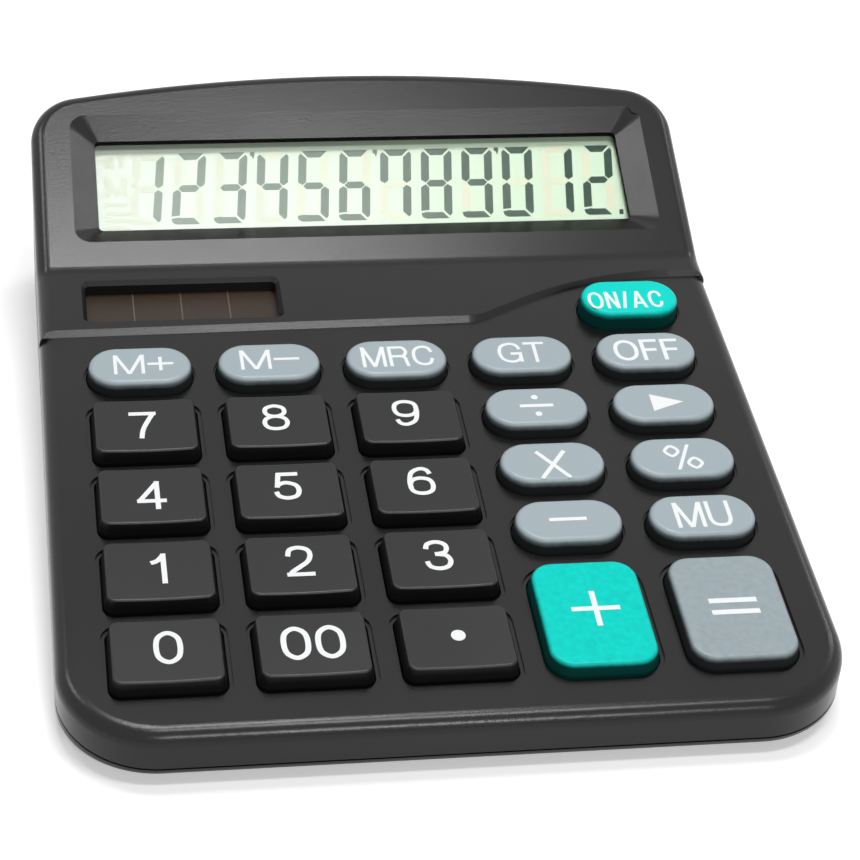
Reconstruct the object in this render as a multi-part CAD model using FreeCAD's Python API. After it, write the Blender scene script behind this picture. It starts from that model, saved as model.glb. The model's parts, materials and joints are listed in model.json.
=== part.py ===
import FreeCAD, Part
import math
import os

from FreeCAD import Placement, Rotation, Vector

# Desktop calculator with a tilted display head, 26 keys, a solar cell and one AA cell.
# Millimetres. X runs to the right, Y to the back, Z up. The origin is on the table,
# under the middle of the body. Two more frames are used: the deck frame (x, v, n) starts at
# the front edge of the key deck, v runs up the deck and n stands square on it; the head
# frame (x, s, h) starts at the fold below the display, s runs up the head, h stands square on it.

# Key grid on the deck
column_pitch = 21.5
columns = 5
digit_pitch = 16.67
digit_row_v = 14.65
pill_pitch = 13.7
pill_row_v = 38.45
pill_rows = 5
large_row_v = 18.65

# Body
side_margin = 16.35
logo_strip = 14.2
head_length = 44.8
deck_slope = 6.0
head_slope = 24.5
front_corner_radius = 15.0
rear_corner_radius = 9.0
rear_arch_radius = 340.0
edge_round = 2.5
base_round = 2.2
fold_round = 5.5
wall = 1.6
floor_wall = 1.5
parting_depth = 6.15
parting_groove = 0.3
lip_height = 1.4
lip_gap = 0.2

# Raised strip behind the keys, with its wave edge
strip_height = 1.0
strip_edge_run = 0.8
wave_low_inset = 16.2
wave_low_rise = 1.0
wave_high_inset = 4.8
wave_foot_x = 16.5
wave_angle = 28.0
wave_foot_radius = 8.0
wave_crest_radius = 60.0

# Key caps: sizes of the flat tops, and how they run in their openings
digit_width = 16.1
digit_length = 12.3
digit_height = 2.4
digit_corner = 1.2
digit_draft = 0.5
digit_edge = 0.35
digit_dish = 0.22
digit_ledge = 0.6
large_width = 16.3
large_length = 21.4
large_height = 2.2
large_corner = 3.5
large_draft = 0.4
large_edge = 0.7
large_ledge = 0.65
pill_width = 16.8
pill_length = 9.2
pill_height = 2.6
pill_draft = 0.3
pill_edge = 0.9
pill_ledge = 0.3
tall_height = 3.3
key_gap = 0.3
ledge_depth = 0.4
key_wall = 1.2
flange_reach = 0.8
flange_thick = 0.7
flange_gap = 0.2
post_radius = 1.6
key_travel = 1.2

# Rubber keypad and circuit board under the keys
dome_gap = 0.2
dome_reserve = 0.2
dome_base_radius = 4.0
dome_top_radius = 2.4
dome_skin = 0.6
mat_thick = 0.6
mat_margin = 1.0
board_thick = 1.0
board_gap = 1.2
board_front = 3.0
board_rear = 100.2
under_board_gap = 1.45
board_post_radius = 2.2
board_post_inset = 4.3
board_post_rows = (17.5, 48.5, 83.5)
board_post_rear_v = 89.2
hole_clearance = 0.4

# Screws
board_screw_radius = 0.9
board_screw_head_radius = 1.7
board_screw_head = 1.0
board_screw_length = 4.2
case_screw_radius = 1.1
case_screw_head_radius = 2.0
case_screw_head = 1.3
head_recess = 0.2
case_screw_length = 4.5
screw_gap = 0.05
head_gap = 0.2
seat_thick = 1.2
post_wall = 1.0
front_boss_x = 32.25
front_boss_v = 5.0
middle_boss_inset = 4.7
middle_boss_v = 103.8
middle_boss_rise = 6.0
rear_boss_inset_x = 5.8
rear_boss_inset_y = 9.5
rear_boss_rise = 9.0

# Display head
bezel_side_margin = 6.5
bezel_low_margin = 6.0
bezel_high_margin = 10.8
bezel_corner = 3.0
bezel_side_run = 4.45
bezel_low_run = 4.3
bezel_high_run = 3.95
bezel_depth = 2.8
funnel_rise = 1.4
bezel_wall = 0.8
window_rim = 1.2
window_x = 0.5
window_corner = 0.9
window_overlap = 1.4
lens_thick = 1.2
display_gap = 0.1
glass_thick = 1.1
contact_ledge = 2.6
clamp_thick = 1.5
clamp_reach = 1.6
clamp_gap = 0.4
clamp_bar = 3.0
clamp_ear_x = 55.2
clamp_ear_radius = 2.1
clamp_ear_s = (13.0, 24.0)

# Solar cell in the raised strip
solar_x = -34.55
solar_inset = 8.65
solar_width = 33.0
solar_length = 10.1
solar_chamfer = 0.7
solar_overlap = 1.3
solar_corner = 0.8
solar_thick = 1.1
solar_wire_radius = 0.4

# Flexible ribbon from the display to the board
ribbon_thick = 0.25
ribbon_left = -42.0
ribbon_right = 13.0
ribbon_bend = 6.0
ribbon_pad = 2.6
ribbon_gap = 0.05

# Battery bay, an AA cell, its contacts and its cover
cell_diameter = 14.5
cell_length = 50.5
cell_nub_radius = 2.75
cell_nub_length = 1.5
cell_edge = 0.6
cell_inset = 14.7
cell_lift = 0.3
bay_gap = 0.35
bay_wall = 1.3
spring_room = 3.6
spring_radius = 3.0
spring_wire = 0.35
spring_turns = 3
contact_thick = 0.4
contact_gap = 0.1
contact_size = 10.0
tab_width = 3.0
tab_rise = 2.0
slot_gap = 0.15
cover_width = 62.0
cover_front_lap = 4.0
cover_gap = 0.2
cover_rail = 1.2
cover_rail_thick = 0.9
grip_count = 4
grip_pitch = 2.0
grip_width = 18.0
grip_depth = 0.4
grip_inset = 6.0

# Rubber feet
feet_drop = 1.2
foot_radius = 5.0
foot_sunk = 0.8
foot_gap = 0.1
foot_inset_x = 15.0
foot_inset_y = 16.0

# Board parts and wires
blob_radius = 7.5
blob_height = 1.4
blob_v = 69.2
capacitor_radius = 2.5
capacitor_length = 9.0
capacitor_x = 30.0
capacitor_v = 85.2
diode_radius = 1.0
diode_length = 3.6
diode_x = (-22.0, -14.0)
diode_v = 85.2
wire_radius = 0.55
wire_swing = 7.0
wire_lead = 6.0
wire_pad_v = 96.2
red_pad_x = 26.0
black_pad_x = -47.0

# Sizes that follow from the ones above
pitch_x = column_pitch
column_x = [(c - (columns - 1) / 2) * pitch_x for c in range(columns)]
digit_rows = [digit_row_v + r * digit_pitch for r in range(4)]
pill_v = [pill_row_v + r * pill_pitch for r in range(pill_rows)]
body_width = (columns - 1) * pitch_x + 2 * side_margin
deck_length = pill_v[-1] + logo_strip
half_width = body_width / 2

slope = math.radians(deck_slope)
tilt = math.radians(head_slope)
fold_run = deck_length * math.cos(slope) - strip_height * math.sin(slope)
body_length = fold_run + head_length * math.cos(tilt)
front_y = -body_length / 2
rear_y = body_length / 2
fold_y = front_y + fold_run

flange_top = -(wall + flange_gap)
flange_bottom = flange_top - flange_thick
dome_top = flange_bottom - dome_gap
mat_top = dome_top - key_travel - dome_reserve
board_top = mat_top - mat_thick
board_bottom = board_top - board_thick

base_z = feet_drop
floor_z = base_z + floor_wall
board_drop = board_bottom * math.cos(slope) + board_front * math.sin(slope)
front_z = floor_z + under_board_gap - board_drop
fold_z = front_z + deck_length * math.sin(slope) + strip_height * math.cos(slope)
top_z = fold_z + head_length * math.sin(tilt)

rim_under = -(bezel_depth + window_rim)
lens_front = rim_under - display_gap
lens_back = lens_front - lens_thick
display_front = lens_back - display_gap
display_back = display_front - 2 * glass_thick
clamp_front = display_back - display_gap
clamp_back = clamp_front - clamp_thick

window_low = bezel_low_margin + bezel_low_run
window_high = head_length - bezel_high_margin - bezel_high_run
window_s = (window_low + window_high) / 2
window_length = window_high - window_low
window_width = body_width - 2 * (bezel_side_margin + bezel_side_run)
lens_width = window_width + 2 * window_overlap
lens_length = window_length + 2 * window_overlap

bay_half_y = cell_diameter / 2 + bay_gap
bay_half_x = (cell_length + spring_room) / 2 + contact_thick + contact_gap + 0.05
cell_y = rear_y - cell_inset
cell_z = floor_z + cell_lift + cell_diameter / 2
bay_roof = cell_z + bay_half_y + bay_wall
slot_front = cell_y - bay_half_y - cover_front_lap
slot_top = floor_z + cover_gap

over = 5.0
up_deck = Vector(0, math.cos(slope), math.sin(slope))
up_head = Vector(0, math.cos(tilt), math.sin(tilt))
deck_place = Placement(Vector(0, front_y, front_z), Rotation(Vector(1, 0, 0), deck_slope))
head_place = Placement(Vector(0, fold_y, fold_z), Rotation(Vector(1, 0, 0), head_slope))


def on_deck(shape):
    """The shape, drawn in the deck frame, in its place on the body."""
    placed = shape.copy()
    placed.Placement = deck_place.multiply(shape.Placement)
    return placed


def on_head(shape):
    """The shape, drawn in the head frame, in its place on the body."""
    placed = shape.copy()
    placed.Placement = head_place.multiply(shape.Placement)
    return placed


def deck_point(x, v, n):
    """A point of the deck frame in the body's own frame."""
    return deck_place.multVec(Vector(x, v, n))


def head_point(x, s, h):
    """A point of the head frame in the body's own frame."""
    return head_place.multVec(Vector(x, s, h))


def box(x0, x1, y0, y1, z0, z1):
    """A block between two corners."""
    return Part.makeBox(x1 - x0, y1 - y0, z1 - z0, Vector(x0, y0, z0))


def rod(radius, z0, z1, x=0.0, y=0.0):
    """A round bar along Z."""
    return Part.makeCylinder(radius, z1 - z0, Vector(x, y, z0))


def rounded(width, length, radius, z, x=0.0, y=0.0):
    """A closed outline with round corners; its ends are half circles where the radius is full."""
    radius = min(radius, width / 2, length / 2)
    a = width / 2 - radius
    b = length / 2 - radius
    edges = []
    for cx, cy, start in ((a, b, 0), (-a, b, 90), (-a, -b, 180), (a, -b, 270)):
        arc = [
            Vector(
                x + cx + radius * math.cos(math.radians(start + turn)),
                y + cy + radius * math.sin(math.radians(start + turn)),
                z,
            )
            for turn in (0, 45, 90)
        ]
        if edges:
            last = edges[-1].Vertexes[-1].Point
            if last.distanceToPoint(arc[0]) > 1e-6:
                edges.append(Part.makeLine(last, arc[0]))
        edges.append(Part.Arc(*arc).toShape())
    first = edges[0].Vertexes[0].Point
    last = edges[-1].Vertexes[-1].Point
    if last.distanceToPoint(first) > 1e-6:
        edges.append(Part.makeLine(last, first))
    return Part.Wire(edges)


def plate(outline, thick):
    """A solid of an outline, pulled up by thick."""
    return Part.Face(outline).extrude(Vector(0, 0, thick))


def tapered(low, high):
    """A solid between two outlines."""
    return Part.makeLoft([low, high], True, True)


def edges_at(shape, z):
    """The edges of a shape that lie at one height."""
    return [e for e in shape.Edges if abs(e.BoundBox.ZMin - z) < 1e-4 and abs(e.BoundBox.ZMax - z) < 1e-4]


def crossing(start, along, through, direction):
    """Where two lines that run in the side view meet."""
    gap = through - start
    turn = along.y * direction.z - along.z * direction.y
    return start + along * ((gap.y * direction.z - gap.z * direction.y) / turn)


def bent_path(points, radii):
    """Straight runs through the points, joined by tangent arcs, one radius for each inner point."""
    edges = []
    start = points[0]
    for i, radius in enumerate(radii):
        corner = points[i + 1]
        back = (points[i] - corner).normalize()
        on = (points[i + 2] - corner).normalize()
        half = back.getAngle(on) / 2
        reach = radius / math.tan(half)
        first = corner + back * reach
        last = corner + on * reach
        centre = corner + (back + on).normalize() * (radius / math.sin(half))
        middle = centre + (corner - centre).normalize() * radius
        edges.append(Part.makeLine(start, first))
        edges.append(Part.Arc(first, middle, last).toShape())
        start = last
    edges.append(Part.makeLine(start, points[-1]))
    return edges


def loose_bends(points):
    """The largest easy radii at the inner points of a wire's route."""
    radii = []
    for before, corner, after in zip(points, points[1:], points[2:]):
        half = (corner - before).getAngle(after - corner) / 2
        shorter = min(corner.distanceToPoint(before), corner.distanceToPoint(after))
        radii.append(0.45 * shorter / math.tan(half))
    return radii


def tube(points, radius):
    """A round wire along a route with easy bends."""
    radii = loose_bends(points)
    print("wire bends", [round(r, 1) for r in radii])
    path = Part.Wire(bent_path(points, radii))
    circle = Part.makeCircle(radius, points[0], points[1] - points[0])
    return path.makePipeShell([Part.Wire([circle])], True, False)


def union(shapes):
    """All the shapes as one."""
    return shapes[0].multiFuse(shapes[1:]).removeSplitter() if len(shapes) > 1 else shapes[0]


def body_outline(inset):
    """The body's outline seen from above, moved in by inset on every side."""
    side = half_width - inset
    front_r = front_corner_radius - inset
    rear_r = rear_corner_radius - inset
    arch_r = rear_arch_radius - inset
    arch_y = rear_y - rear_arch_radius
    front_cx = half_width - front_corner_radius
    front_cy = front_y + front_corner_radius
    rear_cx = half_width - rear_corner_radius
    rear_cy = arch_y + math.sqrt((rear_arch_radius - rear_corner_radius) ** 2 - rear_cx**2)
    lean = math.atan2(rear_cy - arch_y, rear_cx)

    def around(cx, cy, radius, angle):
        return Vector(cx + radius * math.cos(angle), cy + radius * math.sin(angle), 0)

    right = math.pi * 2
    low = math.pi * 1.5
    front = [around(front_cx, front_cy, front_r, a) for a in (low, (low + right) / 2, right)]
    rear = [around(rear_cx, rear_cy, rear_r, a) for a in (0, lean / 2, lean)]
    arch = [around(0, arch_y, arch_r, a) for a in (lean, math.pi / 2, math.pi - lean)]
    mirror = [[Vector(-p.x, p.y, 0) for p in reversed(arc)] for arc in (rear, front)]
    arcs = [front, rear, arch, *mirror]
    edges = []
    for i, arc in enumerate(arcs):
        edges.append(Part.Arc(*arc).toShape())
        following = arcs[(i + 1) % len(arcs)][0]
        if arc[-1].distanceToPoint(following) > 1e-6:
            edges.append(Part.makeLine(arc[-1], following))
    return Part.Wire(edges)


def top_profile(inset, strip):
    """A block, as wide as the body, below the deck and the head, lowered by inset."""
    deck_n = strip - inset
    deck_start = deck_point(0, 0, deck_n)
    head_start = head_point(0, 0, -inset)
    corner = crossing(deck_start, up_deck, head_start, up_head)
    front = deck_start - up_deck * over
    rear = head_start + up_head * (head_length + over)
    bend = bent_path([front, corner, rear], [fold_round + inset])
    low = base_z - over
    floor = [Vector(0, rear.y, low), Vector(0, front.y, low)]
    edges = bend + [
        Part.makeLine(rear, floor[0]),
        Part.makeLine(floor[0], floor[1]),
        Part.makeLine(floor[1], front),
    ]
    face = Part.Face(Part.Wire(edges))
    face.translate(Vector(-half_width - over, 0, 0))
    return face.extrude(Vector(body_width + 2 * over, 0, 0))


def body_block(inset, strip, base):
    """The whole body as one block, with its upper edge and its base edge rounded."""
    outline = body_outline(inset)
    tall = plate(outline, top_z + over)
    tall.translate(Vector(0, 0, base))
    block = tall.common(top_profile(inset, strip))
    if not inset:
        upper = []
        for edge in block.Edges:
            middle = edge.valueAt((edge.FirstParameter + edge.LastParameter) / 2)
            flat = Part.Vertex(Vector(middle.x, middle.y, 0))
            upright = edge.BoundBox.XLength < 1e-6 and edge.BoundBox.YLength < 1e-6
            if middle.z > base + 1 and not upright and outline.distToShape(flat)[0] < 1e-3:
                upper.append(edge)
        block = block.makeFillet(edge_round, upper)
        block = block.makeFillet(base_round, edges_at(block, base))
    return block


def moved(points, radii, square, distance):
    """The corners and radii of a bent path, moved sideways in its plane by distance."""
    last = len(points) - 1
    places = []
    for i, point in enumerate(points):
        first = max(i, 1)
        following = min(i + 1, last)
        before = square.cross(points[first] - points[first - 1]).normalize()
        after = square.cross(points[following] - points[following - 1]).normalize()
        middle = (before + after).normalize()
        places.append(point + middle * (distance / middle.dot(before)))
    turns = []
    for i, radius in enumerate(radii):
        turn = (points[i + 1] - points[i]).cross(points[i + 2] - points[i + 1])
        turns.append(radius - distance if square.dot(turn) > 0 else radius + distance)
    return places, turns


def band(points, radii, square, thick):
    """A face between a bent path and the same path moved sideways."""
    near = bent_path(points, radii)
    far = bent_path(*moved(points, radii, square, thick))
    ends = [
        Part.makeLine(near[-1].Vertexes[-1].Point, far[-1].Vertexes[-1].Point),
        Part.makeLine(far[0].Vertexes[0].Point, near[0].Vertexes[0].Point),
    ]
    return Part.Face(Part.Wire(near + ends[:1] + far[::-1] + ends[1:]))


def wave_outline(n, back):
    """The outline of the raised strip and all behind it, its front edge moved back by back."""
    side = half_width + over
    low = deck_length - wave_low_inset
    high = deck_length - wave_high_inset
    left_v = low - wave_low_rise * (wave_foot_x + side) / (wave_foot_x + half_width)
    crest_x = wave_foot_x + (high - low) / math.tan(math.radians(wave_angle))
    corners = [
        Vector(-side, left_v, n),
        Vector(wave_foot_x, low, n),
        Vector(crest_x, high, n),
        Vector(side, high, n),
    ]
    points, radii = moved(corners, [wave_foot_radius, wave_crest_radius], Vector(0, 0, 1), back)
    far = body_length + 2 * over
    loop = [points[-1], Vector(side, far, n), Vector(-side, far, n), points[0]]
    return Part.Wire(bent_path(points, radii) + [Part.makeLine(a, b) for a, b in zip(loop, loop[1:])])


def wave_region():
    """All that lies behind the wave edge, with the edge itself as a slope."""
    deep = top_z + over
    below = plate(wave_outline(-deep, 0), deep)
    rise = tapered(wave_outline(0, 0), wave_outline(strip_height, strip_edge_run))
    above = plate(wave_outline(strip_height, strip_edge_run), deep)
    return on_deck(union([below, rise, above]))


def slab(low, high):
    """All that lies between two heights of the deck frame."""
    side = half_width + over
    return on_deck(box(-side, side, -2 * over, body_length + 4 * over, low, high))


def column(inset):
    """The body's outline as a tall column."""
    return plate(body_outline(inset), top_z + 2 * over)


# Every key: node, column, place up the deck and kind
keys = [
    ("key_7", 0, digit_rows[3], "digit"),
    ("key_8", 1, digit_rows[3], "digit"),
    ("key_9", 2, digit_rows[3], "digit"),
    ("key_4", 0, digit_rows[2], "digit"),
    ("key_5", 1, digit_rows[2], "digit"),
    ("key_6", 2, digit_rows[2], "digit"),
    ("key_1", 0, digit_rows[1], "digit"),
    ("key_2", 1, digit_rows[1], "digit"),
    ("key_3", 2, digit_rows[1], "digit"),
    ("key_0", 0, digit_rows[0], "digit"),
    ("key_00", 1, digit_rows[0], "digit"),
    ("key_point", 2, digit_rows[0], "digit"),
    ("key_plus", 3, large_row_v, "large"),
    ("key_equals", 4, large_row_v, "large"),
    ("key_minus", 3, pill_v[0], "pill"),
    ("key_mu", 4, pill_v[0], "pill"),
    ("key_multiply", 3, pill_v[1], "pill"),
    ("key_percent", 4, pill_v[1], "pill"),
    ("key_divide", 3, pill_v[2], "pill"),
    ("key_arrow", 4, pill_v[2], "pill"),
    ("key_m_plus", 0, pill_v[3], "pill"),
    ("key_m_minus", 1, pill_v[3], "pill"),
    ("key_mrc", 2, pill_v[3], "pill"),
    ("key_gt", 3, pill_v[3], "pill"),
    ("key_off", 4, pill_v[3], "pill"),
    ("key_on_ac", 4, pill_v[4], "tall"),
]
# Every kind: width, length, height, corner radius, draft, edge radius, dish and ledge width
kinds = {
    "digit": (
        digit_width, digit_length, digit_height, digit_corner,
        digit_draft, digit_edge, digit_dish, digit_ledge,
    ),
    "large": (
        large_width, large_length, large_height, large_corner,
        large_draft, large_edge, 0.0, large_ledge,
    ),
    "pill": (pill_width, pill_length, pill_height, pill_length / 2, pill_draft, pill_edge, 0.0, pill_ledge),
    "tall": (pill_width, pill_length, tall_height, pill_length / 2, pill_draft, pill_edge, 0.0, pill_ledge),
}


def key_outline(kind, grown, n):
    """A key's outline where it meets the deck, grown by a margin."""
    width, length, _, corner, draft, *_ = kinds[kind]
    more = draft + grown
    return rounded(width + 2 * more, length + 2 * more, max(corner + more, 0.4), n)


def make_key(kind):
    """A hollow key cap with a flange below the deck and a post over its dome."""
    width, length, height, corner, draft, edge, dish, _ = kinds[kind]
    cap = tapered(key_outline(kind, 0, 0), rounded(width, length, corner, height))
    if dish:
        radius = width**2 / (8 * dish)
        start = Vector(0, -length / 2 - over, height - dish + radius)
        tool = Part.makeCylinder(radius, length + 2 * over, start, Vector(0, 1, 0))
        cap = cap.cut(tool)
    else:
        cap = cap.makeFillet(edge, edges_at(cap, height))
    if dish:
        crown = [e for e in cap.Edges if e.BoundBox.ZMin > height - dish - 0.05 and e.BoundBox.ZMax > 1]
        cap = cap.makeFillet(edge, crown)
    skirt = plate(key_outline(kind, 0, flange_bottom), -flange_bottom)
    flange = plate(key_outline(kind, flange_reach, flange_bottom), flange_thick)
    roof = height - dish - key_wall
    hollow = plate(key_outline(kind, -key_wall - draft, flange_bottom - 1), roof - flange_bottom + 1)
    post = rod(post_radius, flange_bottom, roof + 0.3)
    return union([cap, skirt, flange]).cut(hollow).fuse(post).removeSplitter()


def key_opening(kind):
    """The opening a key runs in, with its sunk ledge."""
    *_, ledge = kinds[kind]
    hole = plate(key_outline(kind, key_gap, -wall - 1), wall + 2)
    rim = plate(key_outline(kind, key_gap + ledge, -ledge_depth), ledge_depth + 1)
    return hole.fuse(rim)


def at(shape, x, y, z=0.0):
    """A copy of the shape, moved."""
    copy = shape.copy()
    copy.translate(Vector(x, y, z))
    return copy


parts = {}

# Shell, cut into its two halves by a plane that runs with the deck
region = wave_region()
outer = union([body_block(0, 0, base_z).cut(region), body_block(0, strip_height, base_z).common(region)])
inner = body_block(wall, 0, floor_z)
upper = slab(-parting_depth, top_z + over)
top = outer.common(upper).cut(inner)
bottom = outer.cut(upper).cut(inner)

rebate = column((wall - lip_gap) / 2).common(slab(-parting_depth - 1, -parting_depth + lip_height + lip_gap))
lip_slab = slab(-parting_depth - 0.5, -parting_depth + lip_height)
lip = column((wall + lip_gap) / 2).cut(column(wall)).common(lip_slab)
top = top.cut(rebate)
bottom = bottom.fuse(lip)
groove_slab = slab(-parting_depth - parting_groove, -parting_depth + 0.01)
bottom = bottom.cut(column(0).cut(column(parting_groove)).common(groove_slab))

# Bezel, window, solar opening and key openings in the top half
bezel_s = (bezel_low_margin + head_length - bezel_high_margin) / 2
bezel_width = body_width - 2 * bezel_side_margin
bezel_length = head_length - bezel_low_margin - bezel_high_margin
around = 2 * bezel_wall
frame = plate(
    rounded(bezel_width + around, bezel_length + around, bezel_corner, rim_under, window_x, bezel_s),
    -rim_under - wall / 2,
)
# The slopes run on above the head, so that they leave its surface in one clean edge
rise = funnel_rise / bezel_depth
mouth_width = bezel_width + 2 * bezel_side_run * rise
mouth_length = bezel_length + (bezel_low_run + bezel_high_run) * rise
mouth_s = bezel_s + (bezel_high_run - bezel_low_run) * rise / 2
mouth_corner = bezel_corner + (bezel_corner - window_corner) * rise
funnel = tapered(
    rounded(window_width, window_length, window_corner, -bezel_depth, window_x, window_s),
    rounded(mouth_width, mouth_length, mouth_corner, funnel_rise, window_x, mouth_s),
)
window = plate(
    rounded(window_width, window_length, window_corner, rim_under - 1, window_x, window_s),
    -bezel_depth - rim_under + 1,
)
top = top.fuse(on_head(frame).common(outer))
for tool in (funnel, window):
    top = top.cut(on_head(tool))

solar_v = deck_length - solar_inset
solar_hole = plate(
    rounded(solar_width, solar_length, solar_corner, -wall - 1, solar_x, solar_v),
    wall + strip_height + 2,
)
wide = 2 * solar_chamfer
wide_corner = solar_corner + solar_chamfer
solar_bevel = tapered(
    rounded(solar_width, solar_length, solar_corner, strip_height - solar_chamfer, solar_x, solar_v),
    rounded(solar_width + wide, solar_length + wide, wide_corner, strip_height, solar_x, solar_v),
)
top = top.cut(on_deck(solar_hole)).cut(on_deck(solar_bevel))

openings = {kind: key_opening(kind) for kind in kinds}
for _, place, v, kind in keys:
    top = top.cut(on_deck(at(openings[kind], column_x[place], v)))

# Posts for the board and for the display clamp
side_x = half_width - board_post_inset
board_posts = [(x, v) for v in board_post_rows for x in (-side_x, side_x)]
board_posts += [(-pitch_x, board_post_rear_v), (pitch_x, board_post_rear_v)]
post_hole = board_screw_radius + screw_gap
for x, v in board_posts:
    top = top.fuse(on_deck(rod(board_post_radius, board_top, -wall / 2, x, v)).common(outer))
for x, v in board_posts:
    top = top.cut(on_deck(rod(post_hole, board_top - 1, board_bottom + board_screw_length + 0.2, x, v)))
clamp_ears = [(x, s) for s in clamp_ear_s for x in (-clamp_ear_x, clamp_ear_x)]
for x, s in clamp_ears:
    top = top.fuse(on_head(rod(clamp_ear_radius, clamp_front + display_gap, -wall / 2, x, s)).common(outer))
for x, s in clamp_ears:
    top = top.cut(on_head(rod(post_hole, clamp_front - 1, clamp_back + board_screw_length + 0.2, x, s)))

# Case screws: bosses on the bottom half meet posts of the top half
front_boss_y = deck_point(0, front_boss_v, board_top).y
middle_boss_y = deck_point(0, middle_boss_v, 0).y
case_bosses = []
for sign in (-1, 1):
    case_bosses.append((sign * front_boss_x, front_boss_y, 0.0))
    case_bosses.append((sign * (half_width - middle_boss_inset), middle_boss_y, middle_boss_rise))
    case_bosses.append((sign * (half_width - rear_boss_inset_x), rear_y - rear_boss_inset_y, rear_boss_rise))
seat_z = base_z + case_screw_head + head_recess
for x, y, rise in case_bosses:
    seat = seat_z + rise
    meet = seat + seat_thick
    boss = rod(case_screw_head_radius + head_gap + post_wall, floor_z - 0.5, meet, x, y)
    bottom = bottom.fuse(boss.common(outer))
    top = top.fuse(rod(case_screw_radius + post_wall, meet + screw_gap, top_z, x, y).common(outer))
for x, y, rise in case_bosses:
    seat = seat_z + rise
    bottom = bottom.cut(rod(case_screw_head_radius + head_gap, 0, seat, x, y))
    bottom = bottom.cut(rod(case_screw_radius + 0.15, seat - 0.1, seat + seat_thick + 1, x, y))
    top = top.cut(rod(case_screw_radius + screw_gap, seat, seat + case_screw_length + 0.3, x, y))

# Battery bay and the slot of its cover in the bottom half
half_slot = cover_width / 2
rail_z = floor_z - cover_rail_thick
shelf_half = half_slot + cover_rail + bay_wall
shelf = box(-shelf_half, shelf_half, slot_front - bay_wall, rear_y, floor_z - 0.2, slot_top + bay_wall)
bay = box(
    -bay_half_x - bay_wall,
    bay_half_x + bay_wall,
    cell_y - bay_half_y - bay_wall,
    cell_y + bay_half_y + bay_wall,
    slot_top,
    bay_roof,
)
bottom = union([bottom, shelf.common(column(wall / 2)), bay])
slot = box(-half_slot, half_slot, slot_front, rear_y + over, 0, slot_top)
half_rails = half_slot + cover_rail
rails = box(-half_rails, half_rails, slot_front, rear_y + over, rail_z - 0.1, slot_top)
room = box(-bay_half_x, bay_half_x, cell_y - bay_half_y, cell_y + bay_half_y, 0, bay_roof - bay_wall)
bottom = bottom.cut(slot).cut(rails).cut(room)

contact_x = bay_half_x - contact_gap - contact_thick
tab_half = tab_width / 2
for side in (-1, 1):
    x0, x1 = sorted((side * contact_x, side * (contact_x + contact_thick)))
    slot_half = tab_half + slot_gap
    tab_slot = box(x0 - slot_gap, x1 + slot_gap, cell_y - slot_half, cell_y + slot_half, cell_z, bay_roof + 1)
    bottom = bottom.cut(tab_slot)

feet = [(sx * (half_width - foot_inset_x), sy * (rear_y - foot_inset_y)) for sy in (-1, 1) for sx in (-1, 1)]
for x, y in feet:
    bottom = bottom.cut(rod(foot_radius + foot_gap, 0, base_z + foot_sunk, x, y))

parts["top_case"] = top.removeSplitter()
parts["bottom_case"] = bottom.removeSplitter()

# Battery cover, cut from the same base so that its edges run on
half_cover = half_slot - cover_gap
half_rail = half_cover + cover_rail
cover_front = slot_front + cover_gap
cover = outer.common(box(-half_cover, half_cover, cover_front, rear_y + over, 0, floor_z))
rail = box(-half_rail, half_rail, cover_front, rear_y + over, rail_z, floor_z)
cover = union([cover, rail.common(outer)])
for i in range(grip_count):
    y = rear_y - grip_inset - i * grip_pitch
    start = Vector(-grip_width / 2, y, base_z + grip_depth - grip_pitch / 3)
    groove = Part.makeCylinder(grip_pitch / 3, grip_width, start, Vector(1, 0, 0))
    cover = cover.cut(groove)
parts["battery_cover"] = cover

for i, (x, y) in enumerate(feet):
    foot = rod(foot_radius, 0, base_z + foot_sunk - foot_gap, x, y)
    parts[f"foot_{i + 1}"] = foot.makeFillet(0.4, edges_at(foot, 0))


def screw(radius, head_radius, head, length):
    """A pan-head screw that points up, its head's seat at zero."""
    pan = rod(head_radius, -head, 0)
    pan = pan.makeFillet(head * 0.45, edges_at(pan, -head))
    slot = box(-head_radius, head_radius, -0.22, 0.22, -head - 1, -head * 0.55)
    cross = box(-0.22, 0.22, -head_radius, head_radius, -head - 1, -head * 0.55)
    shank = rod(radius, 0, length)
    shank = shank.makeChamfer(radius * 0.45, edges_at(shank, length))
    return pan.cut(slot).cut(cross).fuse(shank).removeSplitter()


small_screw = screw(board_screw_radius, board_screw_head_radius, board_screw_head, board_screw_length)
long_screw = screw(case_screw_radius, case_screw_head_radius, case_screw_head, case_screw_length)
board_seat = board_bottom - screw_gap
clamp_seat = clamp_back - screw_gap
case_seat = seat_z - screw_gap
board_screws = [on_deck(at(small_screw, x, v, board_seat)) for x, v in board_posts]
display_screws = [on_head(at(small_screw, x, s, clamp_seat)) for x, s in clamp_ears]
case_screws = [at(long_screw, x, y, case_seat + rise) for x, y, rise in case_bosses]
parts["board_screws"] = Part.makeCompound(board_screws)
parts["display_screws"] = Part.makeCompound(display_screws)
parts["case_screws"] = Part.makeCompound(case_screws)

# Display stack behind the window
lens = plate(rounded(lens_width, lens_length, window_corner, lens_back, 0, window_s), lens_thick)
parts["display_window"] = on_head(lens)
glass_low = window_s - lens_length / 2
glass_high = window_s + lens_length / 2
half_lens = lens_width / 2
glass_middle = display_front - glass_thick
front_glass = box(-half_lens, half_lens, glass_low - contact_ledge, glass_high, glass_middle, display_front)
rear_glass = box(-half_lens, half_lens, glass_low, glass_high, display_back, glass_middle)
parts["lcd_panel"] = on_head(union([front_glass, rear_glass]))

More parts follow.
